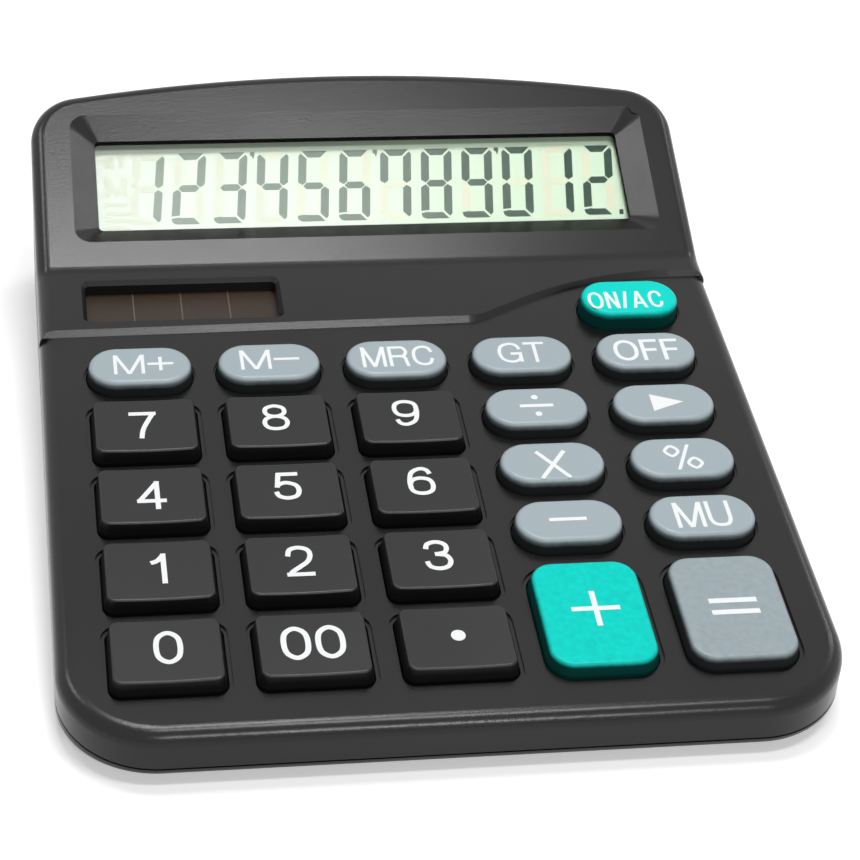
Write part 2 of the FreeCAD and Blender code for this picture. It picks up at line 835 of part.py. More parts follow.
clamp_half = half_lens + clamp_reach
clamp = box(-clamp_half, clamp_half, glass_low + clamp_gap, glass_high, clamp_back, clamp_front)
bar_width = 2 * (clamp_ear_x + clamp_ear_radius)
for s in clamp_ear_s:
    bar = rounded(bar_width, 2 * clamp_ear_radius, clamp_ear_radius, clamp_back, 0, s)
    clamp = clamp.fuse(plate(bar, clamp_thick))
half_light = half_lens - clamp_bar
light_low = glass_low + clamp_bar
light_high = glass_high - clamp_bar
light_hole = box(-half_light, half_light, light_low, light_high, clamp_back - 1, clamp_front + 1)
clamp = clamp.cut(light_hole)
for x, s in clamp_ears:
    clamp = clamp.cut(rod(board_screw_radius + 0.15, clamp_back - 1, clamp_front + 1, x, s))
parts["display_clamp"] = on_head(clamp.removeSplitter())

# Ribbon from the ledge of the display down to the board
ribbon_n = board_top + ribbon_gap + ribbon_thick
ribbon_h = display_front - glass_thick - ribbon_gap
pad_end = deck_point(0, board_rear - ribbon_pad, ribbon_n)
ledge_end = head_point(0, glass_low - 0.3, ribbon_h)
ribbon_corner = crossing(pad_end, up_deck, ledge_end, up_head)
strip = band([pad_end, ribbon_corner, ledge_end], [ribbon_bend], Vector(-1, 0, 0), ribbon_thick)
strip.translate(Vector(ribbon_left, 0, 0))
parts["lcd_ribbon"] = strip.extrude(Vector(ribbon_right - ribbon_left, 0, 0))

# Solar cell under its opening
cell_top = -wall - display_gap
cell_width = solar_width + 2 * solar_overlap
cell_run = solar_length + 2 * solar_overlap
solar_plate = rounded(cell_width, cell_run, 0.3, cell_top - solar_thick, solar_x, solar_v)
parts["solar_cell"] = on_deck(plate(solar_plate, solar_thick))
solar_wires = []
for side in (-1, 1):
    x = solar_x + side * (cell_width / 2 - 2)
    v = solar_v - cell_run / 2 + 1.5
    solar_wires.append(on_deck(rod(solar_wire_radius, board_top + 0.05, cell_top - solar_thick - 0.05, x, v)))
parts["solar_wires"] = Part.makeCompound(solar_wires)

# Circuit board under the keys
board = column(wall + board_gap).common(slab(board_bottom, board_top))
board_span = box(-half_width, half_width, board_front, board_rear, board_bottom - 1, board_top + 1)
board = board.common(on_deck(board_span))
for x, v in board_posts:
    board = board.cut(on_deck(rod(board_screw_radius + 0.15, board_bottom - 1, board_top + 1, x, v)))
for x, y, rise in case_bosses:
    board = board.cut(rod(case_screw_radius + post_wall + hole_clearance, 0, top_z, x, y))
parts["circuit_board"] = board

blob = rod(blob_radius, -blob_height, 0)
blob = blob.makeFillet(blob_height * 0.9, edges_at(blob, -blob_height))
parts["chip_blob"] = on_deck(at(blob, 0, blob_v, board_bottom - 0.02))
can_start = Vector(-capacitor_length / 2, 0, 0)
can = Part.makeCylinder(capacitor_radius, capacitor_length, can_start, Vector(1, 0, 0))
parts["capacitor"] = on_deck(at(can, capacitor_x, capacitor_v, board_bottom - capacitor_radius - 0.1))
bead = Part.makeCylinder(diode_radius, diode_length, Vector(-diode_length / 2, 0, 0), Vector(1, 0, 0))
bead_n = board_bottom - diode_radius - 0.1
parts["diodes"] = Part.makeCompound([on_deck(at(bead, x, diode_v, bead_n)) for x in diode_x])

# Rubber keypad with one dome under every key
mat_left = column_x[0] - dome_base_radius - mat_margin
mat_front = digit_rows[0] - dome_base_radius - mat_margin
mat_rear = pill_v[3] + dome_base_radius + mat_margin
mat = box(mat_left, -mat_left, mat_front, mat_rear, board_top, mat_top)
tail_left = column_x[4] - dome_base_radius - mat_margin
tail_rear = pill_v[4] + dome_base_radius + mat_margin
mat = mat.fuse(box(tail_left, -mat_left, mat_rear - 1, tail_rear, board_top, mat_top))
dome = Part.makeCone(dome_base_radius, dome_top_radius, dome_top - mat_top, Vector(0, 0, mat_top))
hollow_height = dome_top - dome_skin - board_top
dome_room = Part.makeCone(
    dome_base_radius - dome_skin, dome_top_radius - dome_skin, hollow_height, Vector(0, 0, board_top)
)
for _, place, v, _ in keys:
    mat = mat.fuse(at(dome, column_x[place], v))
for _, place, v, _ in keys:
    mat = mat.cut(at(dome_room, column_x[place], v))
parts["keypad"] = on_deck(mat.removeSplitter())

# AA cell, its two contacts and the wires to the board
cell_x = -bay_half_x + contact_gap + contact_thick + spring_room
can_length = cell_length - cell_nub_length
cell = Part.makeCylinder(cell_diameter / 2, can_length, Vector(cell_x, cell_y, cell_z), Vector(1, 0, 0))
ends = [e for e in cell.Edges if e.BoundBox.XLength < 1e-4]
cell = cell.makeFillet(cell_edge, ends)
nub_start = Vector(cell_x + can_length - 1, cell_y, cell_z)
nub = Part.makeCylinder(cell_nub_radius, cell_nub_length + 1, nub_start, Vector(1, 0, 0))
parts["aa_battery"] = cell.fuse(nub).removeSplitter()


def contact(side):
    """A contact plate at one end of the bay, with a tab up through the roof."""
    x0, x1 = sorted((side * contact_x, side * (contact_x + contact_thick)))
    half = contact_size / 2
    sheet = box(x0, x1, cell_y - half, cell_y + half, cell_z - half, cell_z + half)
    tab = box(x0, x1, cell_y - tab_half, cell_y + tab_half, cell_z, bay_roof + tab_rise)
    return sheet.fuse(tab).removeSplitter()


coil_height = spring_room - 2 * spring_wire
coil_path = Part.makeHelix(coil_height / spring_turns, coil_height, spring_radius)
coil_section = Part.Wire([Part.makeCircle(spring_wire, Vector(spring_radius, 0, 0), Vector(0, 1, 0))])
coil = Part.Wire(coil_path).makePipeShell([coil_section], True, True)
coil.rotate(Vector(0, 0, 0), Vector(0, 1, 0), 90)
coil.translate(Vector(-contact_x + spring_wire - 0.08, cell_y, cell_z))
parts["battery_spring"] = contact(-1).fuse(coil)
parts["battery_plate"] = contact(1)


def battery_wire(side, pad_x):
    """A wire from a contact's tab, round the end of the bay, to a pad on the board."""
    start = Vector(side * (contact_x + contact_thick + 0.05), cell_y, bay_roof + tab_rise - wire_radius)
    out = Vector(side * (bay_half_x + bay_wall + wire_swing), cell_y, start.z)
    pad = deck_point(pad_x, wire_pad_v, board_top + wire_radius + 0.05)
    off = deck_point(pad_x, board_rear + wire_lead, board_top + wire_radius + 0.05)
    turn = Vector(out.x, cell_y - 1.5 * wire_swing, off.z)
    return tube([start, out, turn, off, pad], wire_radius)


parts["wire_red"] = battery_wire(1, red_pad_x)
parts["wire_black"] = battery_wire(-1, black_pad_x)

# Keys
caps = {kind: make_key(kind) for kind in kinds}
for name, place, v, kind in keys:
    parts[name] = on_deck(at(caps[kind], column_x[place], v))

os.makedirs("parts", exist_ok=True)
for name, shape in parts.items():
    shape.exportStep(f"parts/{name}.step")
print(len(parts), "parts", body_width, body_length, top_z)
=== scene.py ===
"""Dresses a desktop calculator: moulded finishes, key legends, display, solar cell and stage.

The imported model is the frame. Its nodes keep their meshes and get their finishes here.
The printed legends and the display's segments are new pieces that ride on its bodies.
"""

import json
import math

import bmesh
import bpy
import mathutils
from bpy.props import FloatProperty, FloatVectorProperty, PointerProperty
from mathutils import Matrix, Vector


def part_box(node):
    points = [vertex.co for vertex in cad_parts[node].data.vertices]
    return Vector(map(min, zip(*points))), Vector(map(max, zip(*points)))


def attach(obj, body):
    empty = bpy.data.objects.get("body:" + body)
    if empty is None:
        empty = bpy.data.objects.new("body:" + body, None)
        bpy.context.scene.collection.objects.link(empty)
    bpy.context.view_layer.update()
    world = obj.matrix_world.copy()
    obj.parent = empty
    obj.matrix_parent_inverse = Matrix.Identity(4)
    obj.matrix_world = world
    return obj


bl_info = {
    "name": "Desktop calculator",
    "version": (1, 0, 0),
    "blender": (4, 5, 0),
    "location": "3D View > Sidebar > Calculator",
    "description": "Finishes, key legends, display and stage of a desktop calculator",
    "category": "Object",
}

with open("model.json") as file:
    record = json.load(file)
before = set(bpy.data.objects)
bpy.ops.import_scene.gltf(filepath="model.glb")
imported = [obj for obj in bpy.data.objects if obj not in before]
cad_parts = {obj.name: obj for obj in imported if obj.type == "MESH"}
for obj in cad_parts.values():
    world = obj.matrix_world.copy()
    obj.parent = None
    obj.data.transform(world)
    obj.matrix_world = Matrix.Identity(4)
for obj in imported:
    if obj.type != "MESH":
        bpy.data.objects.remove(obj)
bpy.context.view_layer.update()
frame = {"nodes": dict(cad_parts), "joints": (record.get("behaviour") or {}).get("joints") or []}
nodes = frame["nodes"]

mm = 0.001
across = Vector((1, 0, 0))

# The deck's slope is the one that the keys travel square to, and the head is steeper
press = next(j for j in frame["joints"] if j["name"] == "key_5_press")
out_of_deck = -Vector(press["axis"]).normalized()
head_slope = math.radians(24.5)
out_of_head = Vector((0, -math.sin(head_slope), math.cos(head_slope)))

# Only the head's face counts behind the first place. The window opening's inner walls, which get painted
# shade, start at a depth under that face, reach so far aside, and so far back.
head_behind = 50 * mm
bezel_depth = 2.85 * mm
opening_half_width = 50 * mm
opening_rear = 66 * mm

# Key tops: the digit keys are hollowed across their width
digit_width = 16.1 * mm
digit_dish = 0.22 * mm
dish_radius = digit_width**2 / (8 * digit_dish)

# Legends: what each key says, its width, height and stroke in millimetres,
# and how far it sits right of the key's middle and up from it
legends = {
    "key_7": ("7", 4.4, 6.4, 0.8, -0.4, 0.0),
    "key_8": ("8", 4.45, 6.4, 0.76, -0.4, 0.85),
    "key_9": ("9", 4.4, 6.4, 0.76, -0.4, 0.85),
    "key_4": ("4", 4.6, 6.4, 0.8, -0.1, 0.0),
    "key_5": ("5", 4.4, 6.3, 0.8, -0.25, 0.95),
    "key_6": ("6", 4.4, 6.5, 0.78, -0.4, 0.95),
    "key_1": ("1", 2.5, 6.4, 0.82, -0.1, 0.35),
    "key_2": ("2", 4.3, 6.6, 0.8, -0.15, 0.75),
    "key_3": ("3", 4.45, 6.6, 0.8, -0.3, 0.75),
    "key_0": ("0", 4.35, 6.65, 0.82, 0.25, 0.6),
    "key_00": ("00", 9.6, 6.75, 0.85, 0.0, 0.25),
    "key_point": ("point", 2.2, 2.2, 2.2, 0.15, 0.35),
    "key_m_plus": ("M+", 9.9, 4.9, 0.58, 0.55, 0.0),
    "key_m_minus": ("M-", 9.9, 5.0, 0.58, 0.1, 0.25),
    "key_mrc": ("MRC", 12.2, 5.2, 0.58, 0.15, 0.0),
    "key_gt": ("GT", 8.2, 5.3, 0.6, -0.1, 0.0),
    "key_off": ("OFF", 11.4, 5.5, 0.7, 0.0, -0.3),
    "key_on_ac": ("ON/AC", 13.2, 4.6, 0.54, -1.0, -1.05),
    "key_mu": ("MU", 9.1, 5.7, 0.66, 0.0, -0.15),
    "key_percent": ("%", 6.1, 5.9, 0.55, 0.0, -0.3),
    "key_plus": ("+", 7.5, 7.3, 0.85, 0.35, 0.6),
    "key_equals": ("=", 7.5, 3.4, 0.98, 0.15, -0.2),
    "key_minus": ("-", 6.0, 0.72, 0.72, -0.2, 0.0),
    "key_divide": ("divide", 5.6, 4.9, 0.7, -0.1, -0.1),
    "key_multiply": ("times", 4.9, 6.5, 0.7, -0.1, -0.95),
    "key_arrow": ("arrow", 5.4, 4.25, 0.5, 0.5, -0.35),
}

# Strokes of the letters, figures and signs, in a box that is one wide and one high.
# A loop and a bend run smoothly through their points, and a line has square ends.
# A slant goes from a place on the foot to a place on the head, with level ends.
# A dot is round, and a sheet is filled.
six = [
    ("bend", (0.95, 0.78), (0.82, 0.95), (0.52, 1), (0.14, 0.84), (0, 0.46), (0.03, 0.24)),
    ("loop", (0.5, 0), (0.88, 0.08), (1, 0.31), (0.88, 0.54),
     (0.5, 0.62), (0.13, 0.54), (0, 0.3), (0.12, 0.08)),
]
nine = [(kind, *((1 - x, 1 - y) for x, y in points)) for kind, *points in six]
open_round = ("bend", (1, 0.68), (0.86, 0.92), (0.52, 1), (0.13, 0.86), (0, 0.5), (0.13, 0.14), (0.52, 0))
signs = {
    "0": [
        ("loop", (0.5, 1), (0.9, 0.84), (1, 0.5), (0.9, 0.16),
         (0.5, 0), (0.1, 0.16), (0, 0.5), (0.1, 0.84)),
    ],
    "1": [("line", (1, 0), (1, 1)), ("bend", (-0.15, 0.72), (0.45, 0.8), (0.98, 1))],
    "2": [
        ("bend", (0.02, 0.68), (0.13, 0.92), (0.5, 1), (0.88, 0.92), (1, 0.72),
         (0.86, 0.47), (0.48, 0.27), (0.14, 0.1), (0.02, -0.04)),
        ("line", (0, 0), (1, 0)),
    ],
    "3": [
        ("bend", (0.04, 0.74), (0.14, 0.92), (0.48, 1), (0.82, 0.93),
         (0.93, 0.76), (0.8, 0.59), (0.4, 0.54)),
        ("bend", (0.4, 0.54), (0.84, 0.48), (1, 0.28), (0.86, 0.07), (0.48, 0), (0.12, 0.08), (0, 0.28)),
    ],
    "4": [
        ("line", (0.74, 0), (0.74, 1)), ("line", (0, 0.27), (1, 0.27)),
        ("line", (0.68, 0.95), (0.02, 0.3)),
    ],
    "5": [
        ("line", (0.2, 1), (0.92, 1)), ("line", (0.17, 0.98), (0.08, 0.52)),
        ("bend", (0.05, 0.5), (0.25, 0.61), (0.52, 0.64), (0.88, 0.53), (1, 0.31),
         (0.87, 0.08), (0.48, 0), (0.12, 0.08), (0, 0.27)),
    ],
    "6": six,
    "7": [("line", (0, 1), (1, 1)), ("bend", (0.98, 1), (0.7, 0.64), (0.48, 0.28), (0.4, -0.07))],
    "8": [
        ("loop", (0.5, 1), (0.84, 0.92), (0.93, 0.77), (0.84, 0.62), (0.5, 0.54),
         (0.16, 0.62), (0.07, 0.77), (0.16, 0.92)),
        ("loop", (0.5, 0.54), (0.87, 0.46), (1, 0.27), (0.87, 0.07), (0.5, 0),
         (0.13, 0.07), (0, 0.27), (0.13, 0.46)),
    ],
    "9": nine,
    "A": [("slant", 0, 0.5), ("slant", 1, 0.5), ("line", (0.24, 0.26), (0.76, 0.26))],
    "C": [(*open_round, (0.86, 0.08), (1, 0.34))],
    "E": [
        ("line", (0, 0), (0, 1)), ("line", (0, 1), (1, 1)),
        ("line", (0, 0.53), (0.92, 0.53)), ("line", (0, 0), (1, 0)),
    ],
    "F": [("line", (0, 0), (0, 1)), ("line", (0, 1), (1, 1)), ("line", (0, 0.5), (0.85, 0.5))],
    "G": [
        (*open_round, (0.86, 0.08), (1, 0.26)),
        ("line", (1, 0.05), (1, 0.45)), ("line", (0.62, 0.45), (1, 0.45)),
    ],
    "M": [("line", (0, 0), (0, 1)), ("line", (1, 0), (1, 1)), ("slant", 0.5, 0), ("slant", 0.5, 1)],
    "N": [("line", (0, 0), (0, 1)), ("line", (1, 0), (1, 1)), ("slant", 1, 0)],
    "O": [
        ("loop", (0.5, 1), (0.88, 0.85), (1, 0.5), (0.88, 0.15),
         (0.5, 0), (0.12, 0.15), (0, 0.5), (0.12, 0.85)),
    ],
    "R": [
        ("line", (0, 0), (0, 1)), ("line", (0, 1), (0.6, 1)), ("line", (0, 0.5), (0.6, 0.5)),
        ("bend", (0.58, 1), (0.8, 0.97), (0.95, 0.75), (0.8, 0.53), (0.58, 0.5)),
        ("bend", (0.6, 0.5), (0.84, 0.42), (0.9, 0.22), (0.97, -0.08)),
    ],
    "T": [("line", (0, 1), (1, 1)), ("line", (0.5, 0), (0.5, 1))],
    "U": [
        ("bend", (0, 1.08), (0, 0.6), (0.02, 0.25), (0.18, 0.05), (0.5, 0),
         (0.82, 0.05), (0.98, 0.25), (1, 0.6), (1, 1.08)),
    ],
    "/": [("slant", 0, 1)],
    "%": [
        ("slant", 0.27, 0.73),
        ("loop", (0.2, 1), (0.4, 0.78), (0.2, 0.56), (0, 0.78)),
        ("loop", (0.8, 0.44), (1, 0.22), (0.8, 0), (0.6, 0.22)),
    ],
    "+": [("line", (0, 0.5), (1, 0.5)), ("line", (0.5, 0), (0.5, 1))],
    "-": [("line", (0, 0.5), (1, 0.5))],
    "=": [("line", (0, 0), (1, 0)), ("line", (0, 1), (1, 1))],
    "divide": [("line", (0, 0.5), (1, 0.5)), ("dot", (0.5, 1)), ("dot", (0.5, 0))],
    "times": [("line", (0, 0), (1, 1)), ("line", (0, 1), (1, 0))],
    "arrow": [("sheet", (0, 0), (1, 0.5), (0, 1))],
    "point": [("dot", (0.5, 0.5))],
}

# Widths of the letters in a word, and the gap between two of them, as shares of their height
letter_widths = {
    "M": 0.98, "R": 0.84, "C": 0.88, "G": 0.92, "T": 0.8, "O": 0.95, "N": 0.8, "A": 0.92, "F": 0.68,
    "E": 0.72, "U": 0.82, "/": 0.5, "+": 0.82, "-": 0.82, "0": 0.66,
}
letter_gap = 0.1
# A plus in a word stands clear of the others' foot and head by this share of their height
plus_margin = 0.14

# How finely the signs are drawn: steps from point to point of a bend, and sides of a dot
bend_steps = 6
dot_sides = 28
# A dot beside other marks has a radius of this share of their stroke
dot_radius = 0.8
# Points that lie closer than this are one, and faces that tilt less than this are joined
merge_distance = 1e-7
flat_angle = 0.01

# Seven-segment figures of the display
figure_pitch = 7.6 * mm
figure_width = 5.75 * mm
figure_height = 15.8 * mm
figure_stroke = 1.5 * mm
figure_lean = math.radians(6.0)
figure_gap = 0.14 * mm
first_figure = -38.8 * mm
figure_low = -7.2 * mm
segment_thick = 0.01 * mm
figures = "123456789012"
# Marks after some of the figures, as outlines in millimetres from the middle of the gap
comma_after = (2, 5, 8)
comma_mark = ((-0.4, 0), (0.45, 0), (0.45, -0.7), (0.2, -1.75), (0, -0.95), (-0.4, -0.75))
point_mark = ((0, 0), (0.75, 0), (0.75, 1.1), (0, 1.1))
mark_shift = -0.1 * mm
# Faint signs at the left end, in millimetres: what they say, how high they sit and how tall
mode_signs = (("GT", 7.1, 3.5), ("M", 1.3, 4.0), ("-", -2.5, 0.9), ("E", -6.1, 3.9))
mode_signs_x = -44.3
mode_signs_width = 3.9
mode_stroke = 0.85
# The segments that each figure lights
lit = {
    "0": "abcdef", "1": "bc", "2": "abged", "3": "abgcd", "4": "fgbc",
    "5": "afgcd", "6": "afgedc", "7": "fabc", "8": "abcdefg", "9": "abcdfg",
}

# How many spots of noise lie in a metre: slow changes of shade and sheen, and fine ones
shade_spots = 45.0
sheen_spots = 70.0
track_spots = 120.0
fine_spots = 900.0
# The grain of the case, and how strongly any grain shows
case_grain_depth = 0.04 * mm
grain_strength = 0.6

# Grain of the caps, and painted shade down their sides: the top colour gives way unevenly to a dark matt
# skirt
cap_grain = 0.14 * mm
cap_grain_depth = 0.005 * mm
edge_wobble = 0.3 * mm
shade_edge_blend = 0.2
matt_roughness = 0.7
matt_specular = 0.12

# Lines on the solar cell and on the board: their pitch and their width
solar_lines = (8.3 * mm, 0.22 * mm)
board_tracks = (2.4 * mm, 0.7 * mm)
board_rows = (6.1 * mm, 1.0 * mm)

# Moulded parts inside: node, finish, colour, size and depth of the grain in millimetres,
# roughness where polished and where dull, and how much the shade changes
inner_parts = (
    ("keypad", "silicone", (0.55, 0.56, 0.54), 0.3, 0.01, 0.45, 0.6, 0.04),
    ("display_clamp", "clamp_plastic", (0.7, 0.7, 0.68), 0.3, 0.01, 0.4, 0.5, 0.08),
    ("chip_blob", "resin_drop", (0.01, 0.01, 0.01), 0.5, 0.01, 0.12, 0.2, 0.08),
    ("capacitor", "capacitor_sleeve", (0.05, 0.07, 0.2), 0.4, 0.005, 0.2, 0.3, 0.08),
    ("diodes", "diode_glass", (0.45, 0.12, 0.05), 0.4, 0.002, 0.1, 0.2, 0.08),
    ("lcd_ribbon", "ribbon_film", (0.5, 0.42, 0.22), 0.4, 0.002, 0.3, 0.4, 0.08),
    ("wire_red", "red_sleeve", (0.45, 0.02, 0.02), 0.3, 0.005, 0.35, 0.45, 0.08),
    ("wire_black", "black_sleeve", (0.015, 0.015, 0.015), 0.3, 0.005, 0.35, 0.45, 0.08),
)

# Lamps: place, what they point at, width, length and power in watts
lamps = {
    "back_box": ((-0.01, 0.1, 0.62), (-0.01, 0, 0), 0.24, 0.13, 1.55),
    "top_box": ((0.08, -0.13, 0.62), (0, 0, 0), 0.28, 0.08, 1.15),
    "front_box": ((0.09, -0.65, 0.41), (0, 0, 0), 0.24, 0.08, 1.3),
    "left_box": ((-0.37, 0.25, 0.56), (0, 0.05, 0), 0.12, 0.12, 0.45),
    "right_box": ((0.47, 0.33, 0.41), (0, 0.05, 0), 0.12, 0.12, 0.24),
}
soft_light = 0.14

# Floor: how far it reaches, and the white that it adds to what is seen of it
floor_reach = 3.0
floor_lift = 0.34

# Camera: its turn in degrees, its lens and sensor in millimetres, and how near and far it sees
camera_place = Vector((-62.99, -325.98, 240.78)) * mm
camera_turn = (55.08, -2.688, -7.251)
camera_lens = 100.33
camera_sensor = 36
camera_shift = (0.1105, -0.0077)
camera_sight = (0.01, 10)


def length_setting(name, description, default, least):
    """A length for the panel."""
    return FloatProperty(
        name=name, description=description, default=default, min=least, unit="LENGTH", precision=5
    )


def colour_setting(name, description, default):
    """A colour for the panel."""
    return FloatVectorProperty(
        name=name, description=description, default=default, subtype="COLOR", size=3, min=0.0, max=1.0
    )


class CalculatorSizes(bpy.types.PropertyGroup):
    """Sizes of the printed and shown signs."""

    print_thick: length_setting(
        "Print thickness", "How far a printed legend stands above its key", 0.04 * mm, 0.01 * mm
    )
    segment_lift: length_setting(
        "Segment lift", "Gap between the display glass and its figures", 0.03 * mm, 0.01 * mm
    )
    grain_size: length_setting(
        "Grain size", "Size of the grain moulded into the case", 0.34 * mm, 0.05 * mm
    )


class CalculatorColours(bpy.types.PropertyGroup):
    """Colours of the parts that show."""

    case: colour_setting("Case", "Colour of the moulded case", (0.007, 0.0074, 0.0068))
    black_key: colour_setting("Black keys", "Colour of the figure keys", (0.006, 0.0064, 0.006))
    grey_key: colour_setting("Grey keys", "Colour of the function keys", (0.36, 0.43, 0.46))
    teal_key: colour_setting(
        "Teal keys", "Colour of the plus key and the key that switches on", (0.0, 0.78, 0.68)
    )
    legend: colour_setting("Legends", "Colour of the print on the keys", (0.88, 0.9, 0.91))
    display: colour_setting("Display", "Colour of the unlit display", (0.61, 0.745, 0.58))


def sizes():
    """The sizes that the panel shows."""
    return bpy.context.scene.calculator_sizes


def colours():
    """The colours that the panel shows."""
    return bpy.context.scene.calculator_colours


def seat(node, out, plane=None):
    """A matrix that puts a flat piece on the outermost face of a node, centred on the node."""
    up = out.cross(across)
    points = [v.co for v in nodes[node].data.vertices]
    sides = [p.dot(across) for p in points]
    rises = [p.dot(up) for p in points]
    height = max(p.dot(out) for p in [v.co for v in nodes[plane or node].data.vertices])
    middle = across * (min(sides) + max(sides)) / 2 + up * (min(rises) + max(rises)) / 2
    turn = Matrix((across, up, out)).transposed().to_4x4()
    return Matrix.Translation(middle + out * height) @ turn


def piece(name, mesh, body, material):
    """Makes an object of a finished mesh that rides on a body."""
    mesh.name = name
    mesh.materials.clear()
    mesh.materials.append(material)
    thing = bpy.data.objects.new(name, mesh)
    bpy.context.scene.collection.objects.link(thing)
    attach(thing, body)


def thicken(shape, thick):
    """Gives the flat faces of a bmesh a thickness, upwards."""
    made = bmesh.ops.extrude_face_region(shape, geom=shape.faces[:], use_keep_orig=True)
    top = [v for v in made["geom"] if isinstance(v, bmesh.types.BMVert)]
    bmesh.ops.translate(shape, verts=top, vec=(0, 0, thick))
    bmesh.ops.recalc_face_normals(shape, faces=shape.faces)


def mesh_of(shape):
    """A mesh of a bmesh, which is then let go."""
    mesh = bpy.data.meshes.new("shape")
    shape.to_mesh(mesh)
    shape.free()
    return mesh


def smooth(points, closed):
    """More points on a smooth line through the given ones."""
    count = len(points)
    ends = range(count if closed else count - 1)
    line = []
    for i in ends:
        near = [points[(i + k) % count if closed else min(max(i + k, 0), count - 1)] for k in (-1, 0, 1, 2)]
        before, start, end, after = near
        for step in range(bend_steps):
            t = step / bend_steps
            leave, arrive = (end - before) / 2, (after - start) / 2
            bend = start * (2 * t**3 - 3 * t**2 + 1) + leave * (t**3 - 2 * t**2 + t)
            line.append(bend + end * (3 * t**2 - 2 * t**3) + arrive * (t**3 - t**2))
    return line if closed else line + [points[-1]]


def ribbon(line, stroke, closed):
    """Quads along a line, as wide as the stroke."""
    count = len(line)
    edges = []
    for i, point in enumerate(line):
        before = line[i - 1] if closed or i else line[0]
        after = line[(i + 1) % count] if closed or i < count - 1 else line[-1]
        run = (after - before).normalized()
        side = Vector((-run.y, run.x)) * stroke / 2
        edges.append((point + side, point - side))
    pairs = zip(edges, edges[1:] + edges[:1] if closed else edges[1:])
    return [[a[0], a[1], b[1], b[0]] for a, b in pairs]


def glyph_faces(sign, left, width, height, stroke):
    """The faces of one letter, figure or sign, which may lie over each other."""
    inside = Vector((width - stroke, height - stroke))
    corner = Vector((left + stroke / 2, stroke / 2))
    faces = []
    for kind, *marks in signs[sign]:
        if kind == "slant":
            foot, head = marks
            level = stroke * math.hypot(1, (head - foot) * width / height)
            start, end = left + foot * (width - level), left + head * (width - level)
            ends = [(start, 0), (start + level, 0), (end + level, height), (end, height)]
            faces.append([Vector(point) for point in ends])
            continue
        if kind == "sheet":
            faces.append([Vector((left + x * width, y * height)) for x, y in marks])
            continue
        points = [corner + Vector((x * inside.x, y * inside.y)) for x, y in marks]
        if kind == "dot":
            turns = [math.tau * i / dot_sides for i in range(dot_sides)]
            radius = stroke / 2 if len(signs[sign]) == 1 else stroke * dot_radius
            faces.append([points[0] + radius * Vector((math.cos(a), math.sin(a))) for a in turns])
        elif kind == "line":
            reach = (points[1] - points[0]).normalized() * stroke / 2
            faces += ribbon([points[0] - reach, points[1] + reach], stroke, False)
        else:
            closed = kind == "loop"
            faces += ribbon(smooth(points, closed), stroke, closed)
    return faces


def word_faces(words, width, height, stroke):
    """The faces of a word, centred: its letters share out the width."""
    letters = [words] if words in signs else list(words)
    shares = [letter_widths.get(letter, 1) for letter in letters]
    gap = letter_gap * height
    grow = (width - gap * (len(letters) - 1)) / (sum(shares) * height)
    faces, left = [], 0.0
    for letter, share in zip(letters, shares):
        size = share * height * grow
        low, high = 0.0, height
        if letter == "+" and len(letters) > 1:
            low, high = height * plus_margin, height * (1 - plus_margin)
        if letter == "-" and len(letters) > 1:
            low, high = (height - stroke) / 2, (height + stroke) / 2
        made = glyph_faces(letter, left, size, high - low, stroke)
        faces += [[point + Vector((0, low)) for point in face] for face in made]
        left += size + gap
    middle = Vector((width / 2, height / 2))
    return [[point - middle for point in face] for face in faces]


def joined(faces, thick):
    """One closed shape of flat faces that may lie over each other."""
    points, corners = [], []
    for face in faces:
        corners.append(list(range(len(points), len(points) + len(face))))
        points += face
    triangles_inside = 1
    laid = mathutils.geometry.delaunay_2d_cdt(points, [], corners, triangles_inside, merge_distance)
    places, _, triangles, _, _, sources = laid
    shape = bmesh.new()
    dots = [shape.verts.new((x, y, 0)) for x, y in places]
    for triangle, source in zip(triangles, sources):
        if source:
            shape.faces.new([dots[i] for i in triangle])
    loose = [v for v in shape.verts if not v.link_faces]
    bmesh.ops.delete(shape, geom=loose, context="VERTS")
    bmesh.ops.dissolve_limit(shape, angle_limit=flat_angle, verts=shape.verts, edges=shape.edges)
    thicken(shape, thick)
    return shape


digit_keys = ["key_" + name for name in "0 00 1 2 3 4 5 6 7 8 9 point".split()]
teal_keys = ["key_plus", "key_on_ac"]
all_keys = sorted(n for n in nodes if n.startswith("key_"))
grey_keys = [n for n in all_keys if n not in digit_keys and n not in teal_keys]


def segment_outlines():
    """The seven segments of a figure, as outlines from its lower left corner."""
    wide, high, thick, gap = figure_width, figure_height, figure_stroke, figure_gap
    half = high / 2
    tip = 0.85 * mm
    cut = 0.55 * mm
    inner = thick + 0.12 * mm
    notch = 0.25 * mm
    nib = 0.45 * mm
    trim = 0.1 * mm
    low_end = 0.9 * mm
    right_up = [
        (wide - thick, high - thick - 2 * gap), (wide - cut + gap, high - cut), (wide, high - 2 * cut),
        (wide, half + tip), (wide - tip, half + 1.5 * gap), (wide - thick, half + thick / 2 + gap),
    ]
    right_down = [(x, high - y) for x, y in reversed(right_up)]
    left_up = [(wide - x, y) for x, y in reversed(right_up)]
    top = [(cut, high), (wide - cut, high), (wide - inner - gap, high - thick), (inner + gap, high - thick)]
    middle = [
        (tip + gap, half), (inner, half + thick / 2), (wide - inner, half + thick / 2),
        (wide - tip - gap, half), (wide - inner, half - thick / 2), (inner, half - thick / 2),
    ]
    left_down = [
        (0, half - tip), (tip, half - 1.5 * gap), (thick, half - thick / 2 - gap),
        (thick, thick + nib), (0, thick + notch),
    ]
    bottom = [
        (0, thick - notch), (thick - trim, thick + trim / 2), (thick - trim / 2, thick - trim),
        (wide - inner - gap, thick - trim), (wide - cut, 0), (low_end, 0), (notch, nib),
    ]
    return {
        "a": top, "b": right_up, "c": right_down, "d": bottom,
        "e": left_down, "f": left_up, "g": middle,
    }


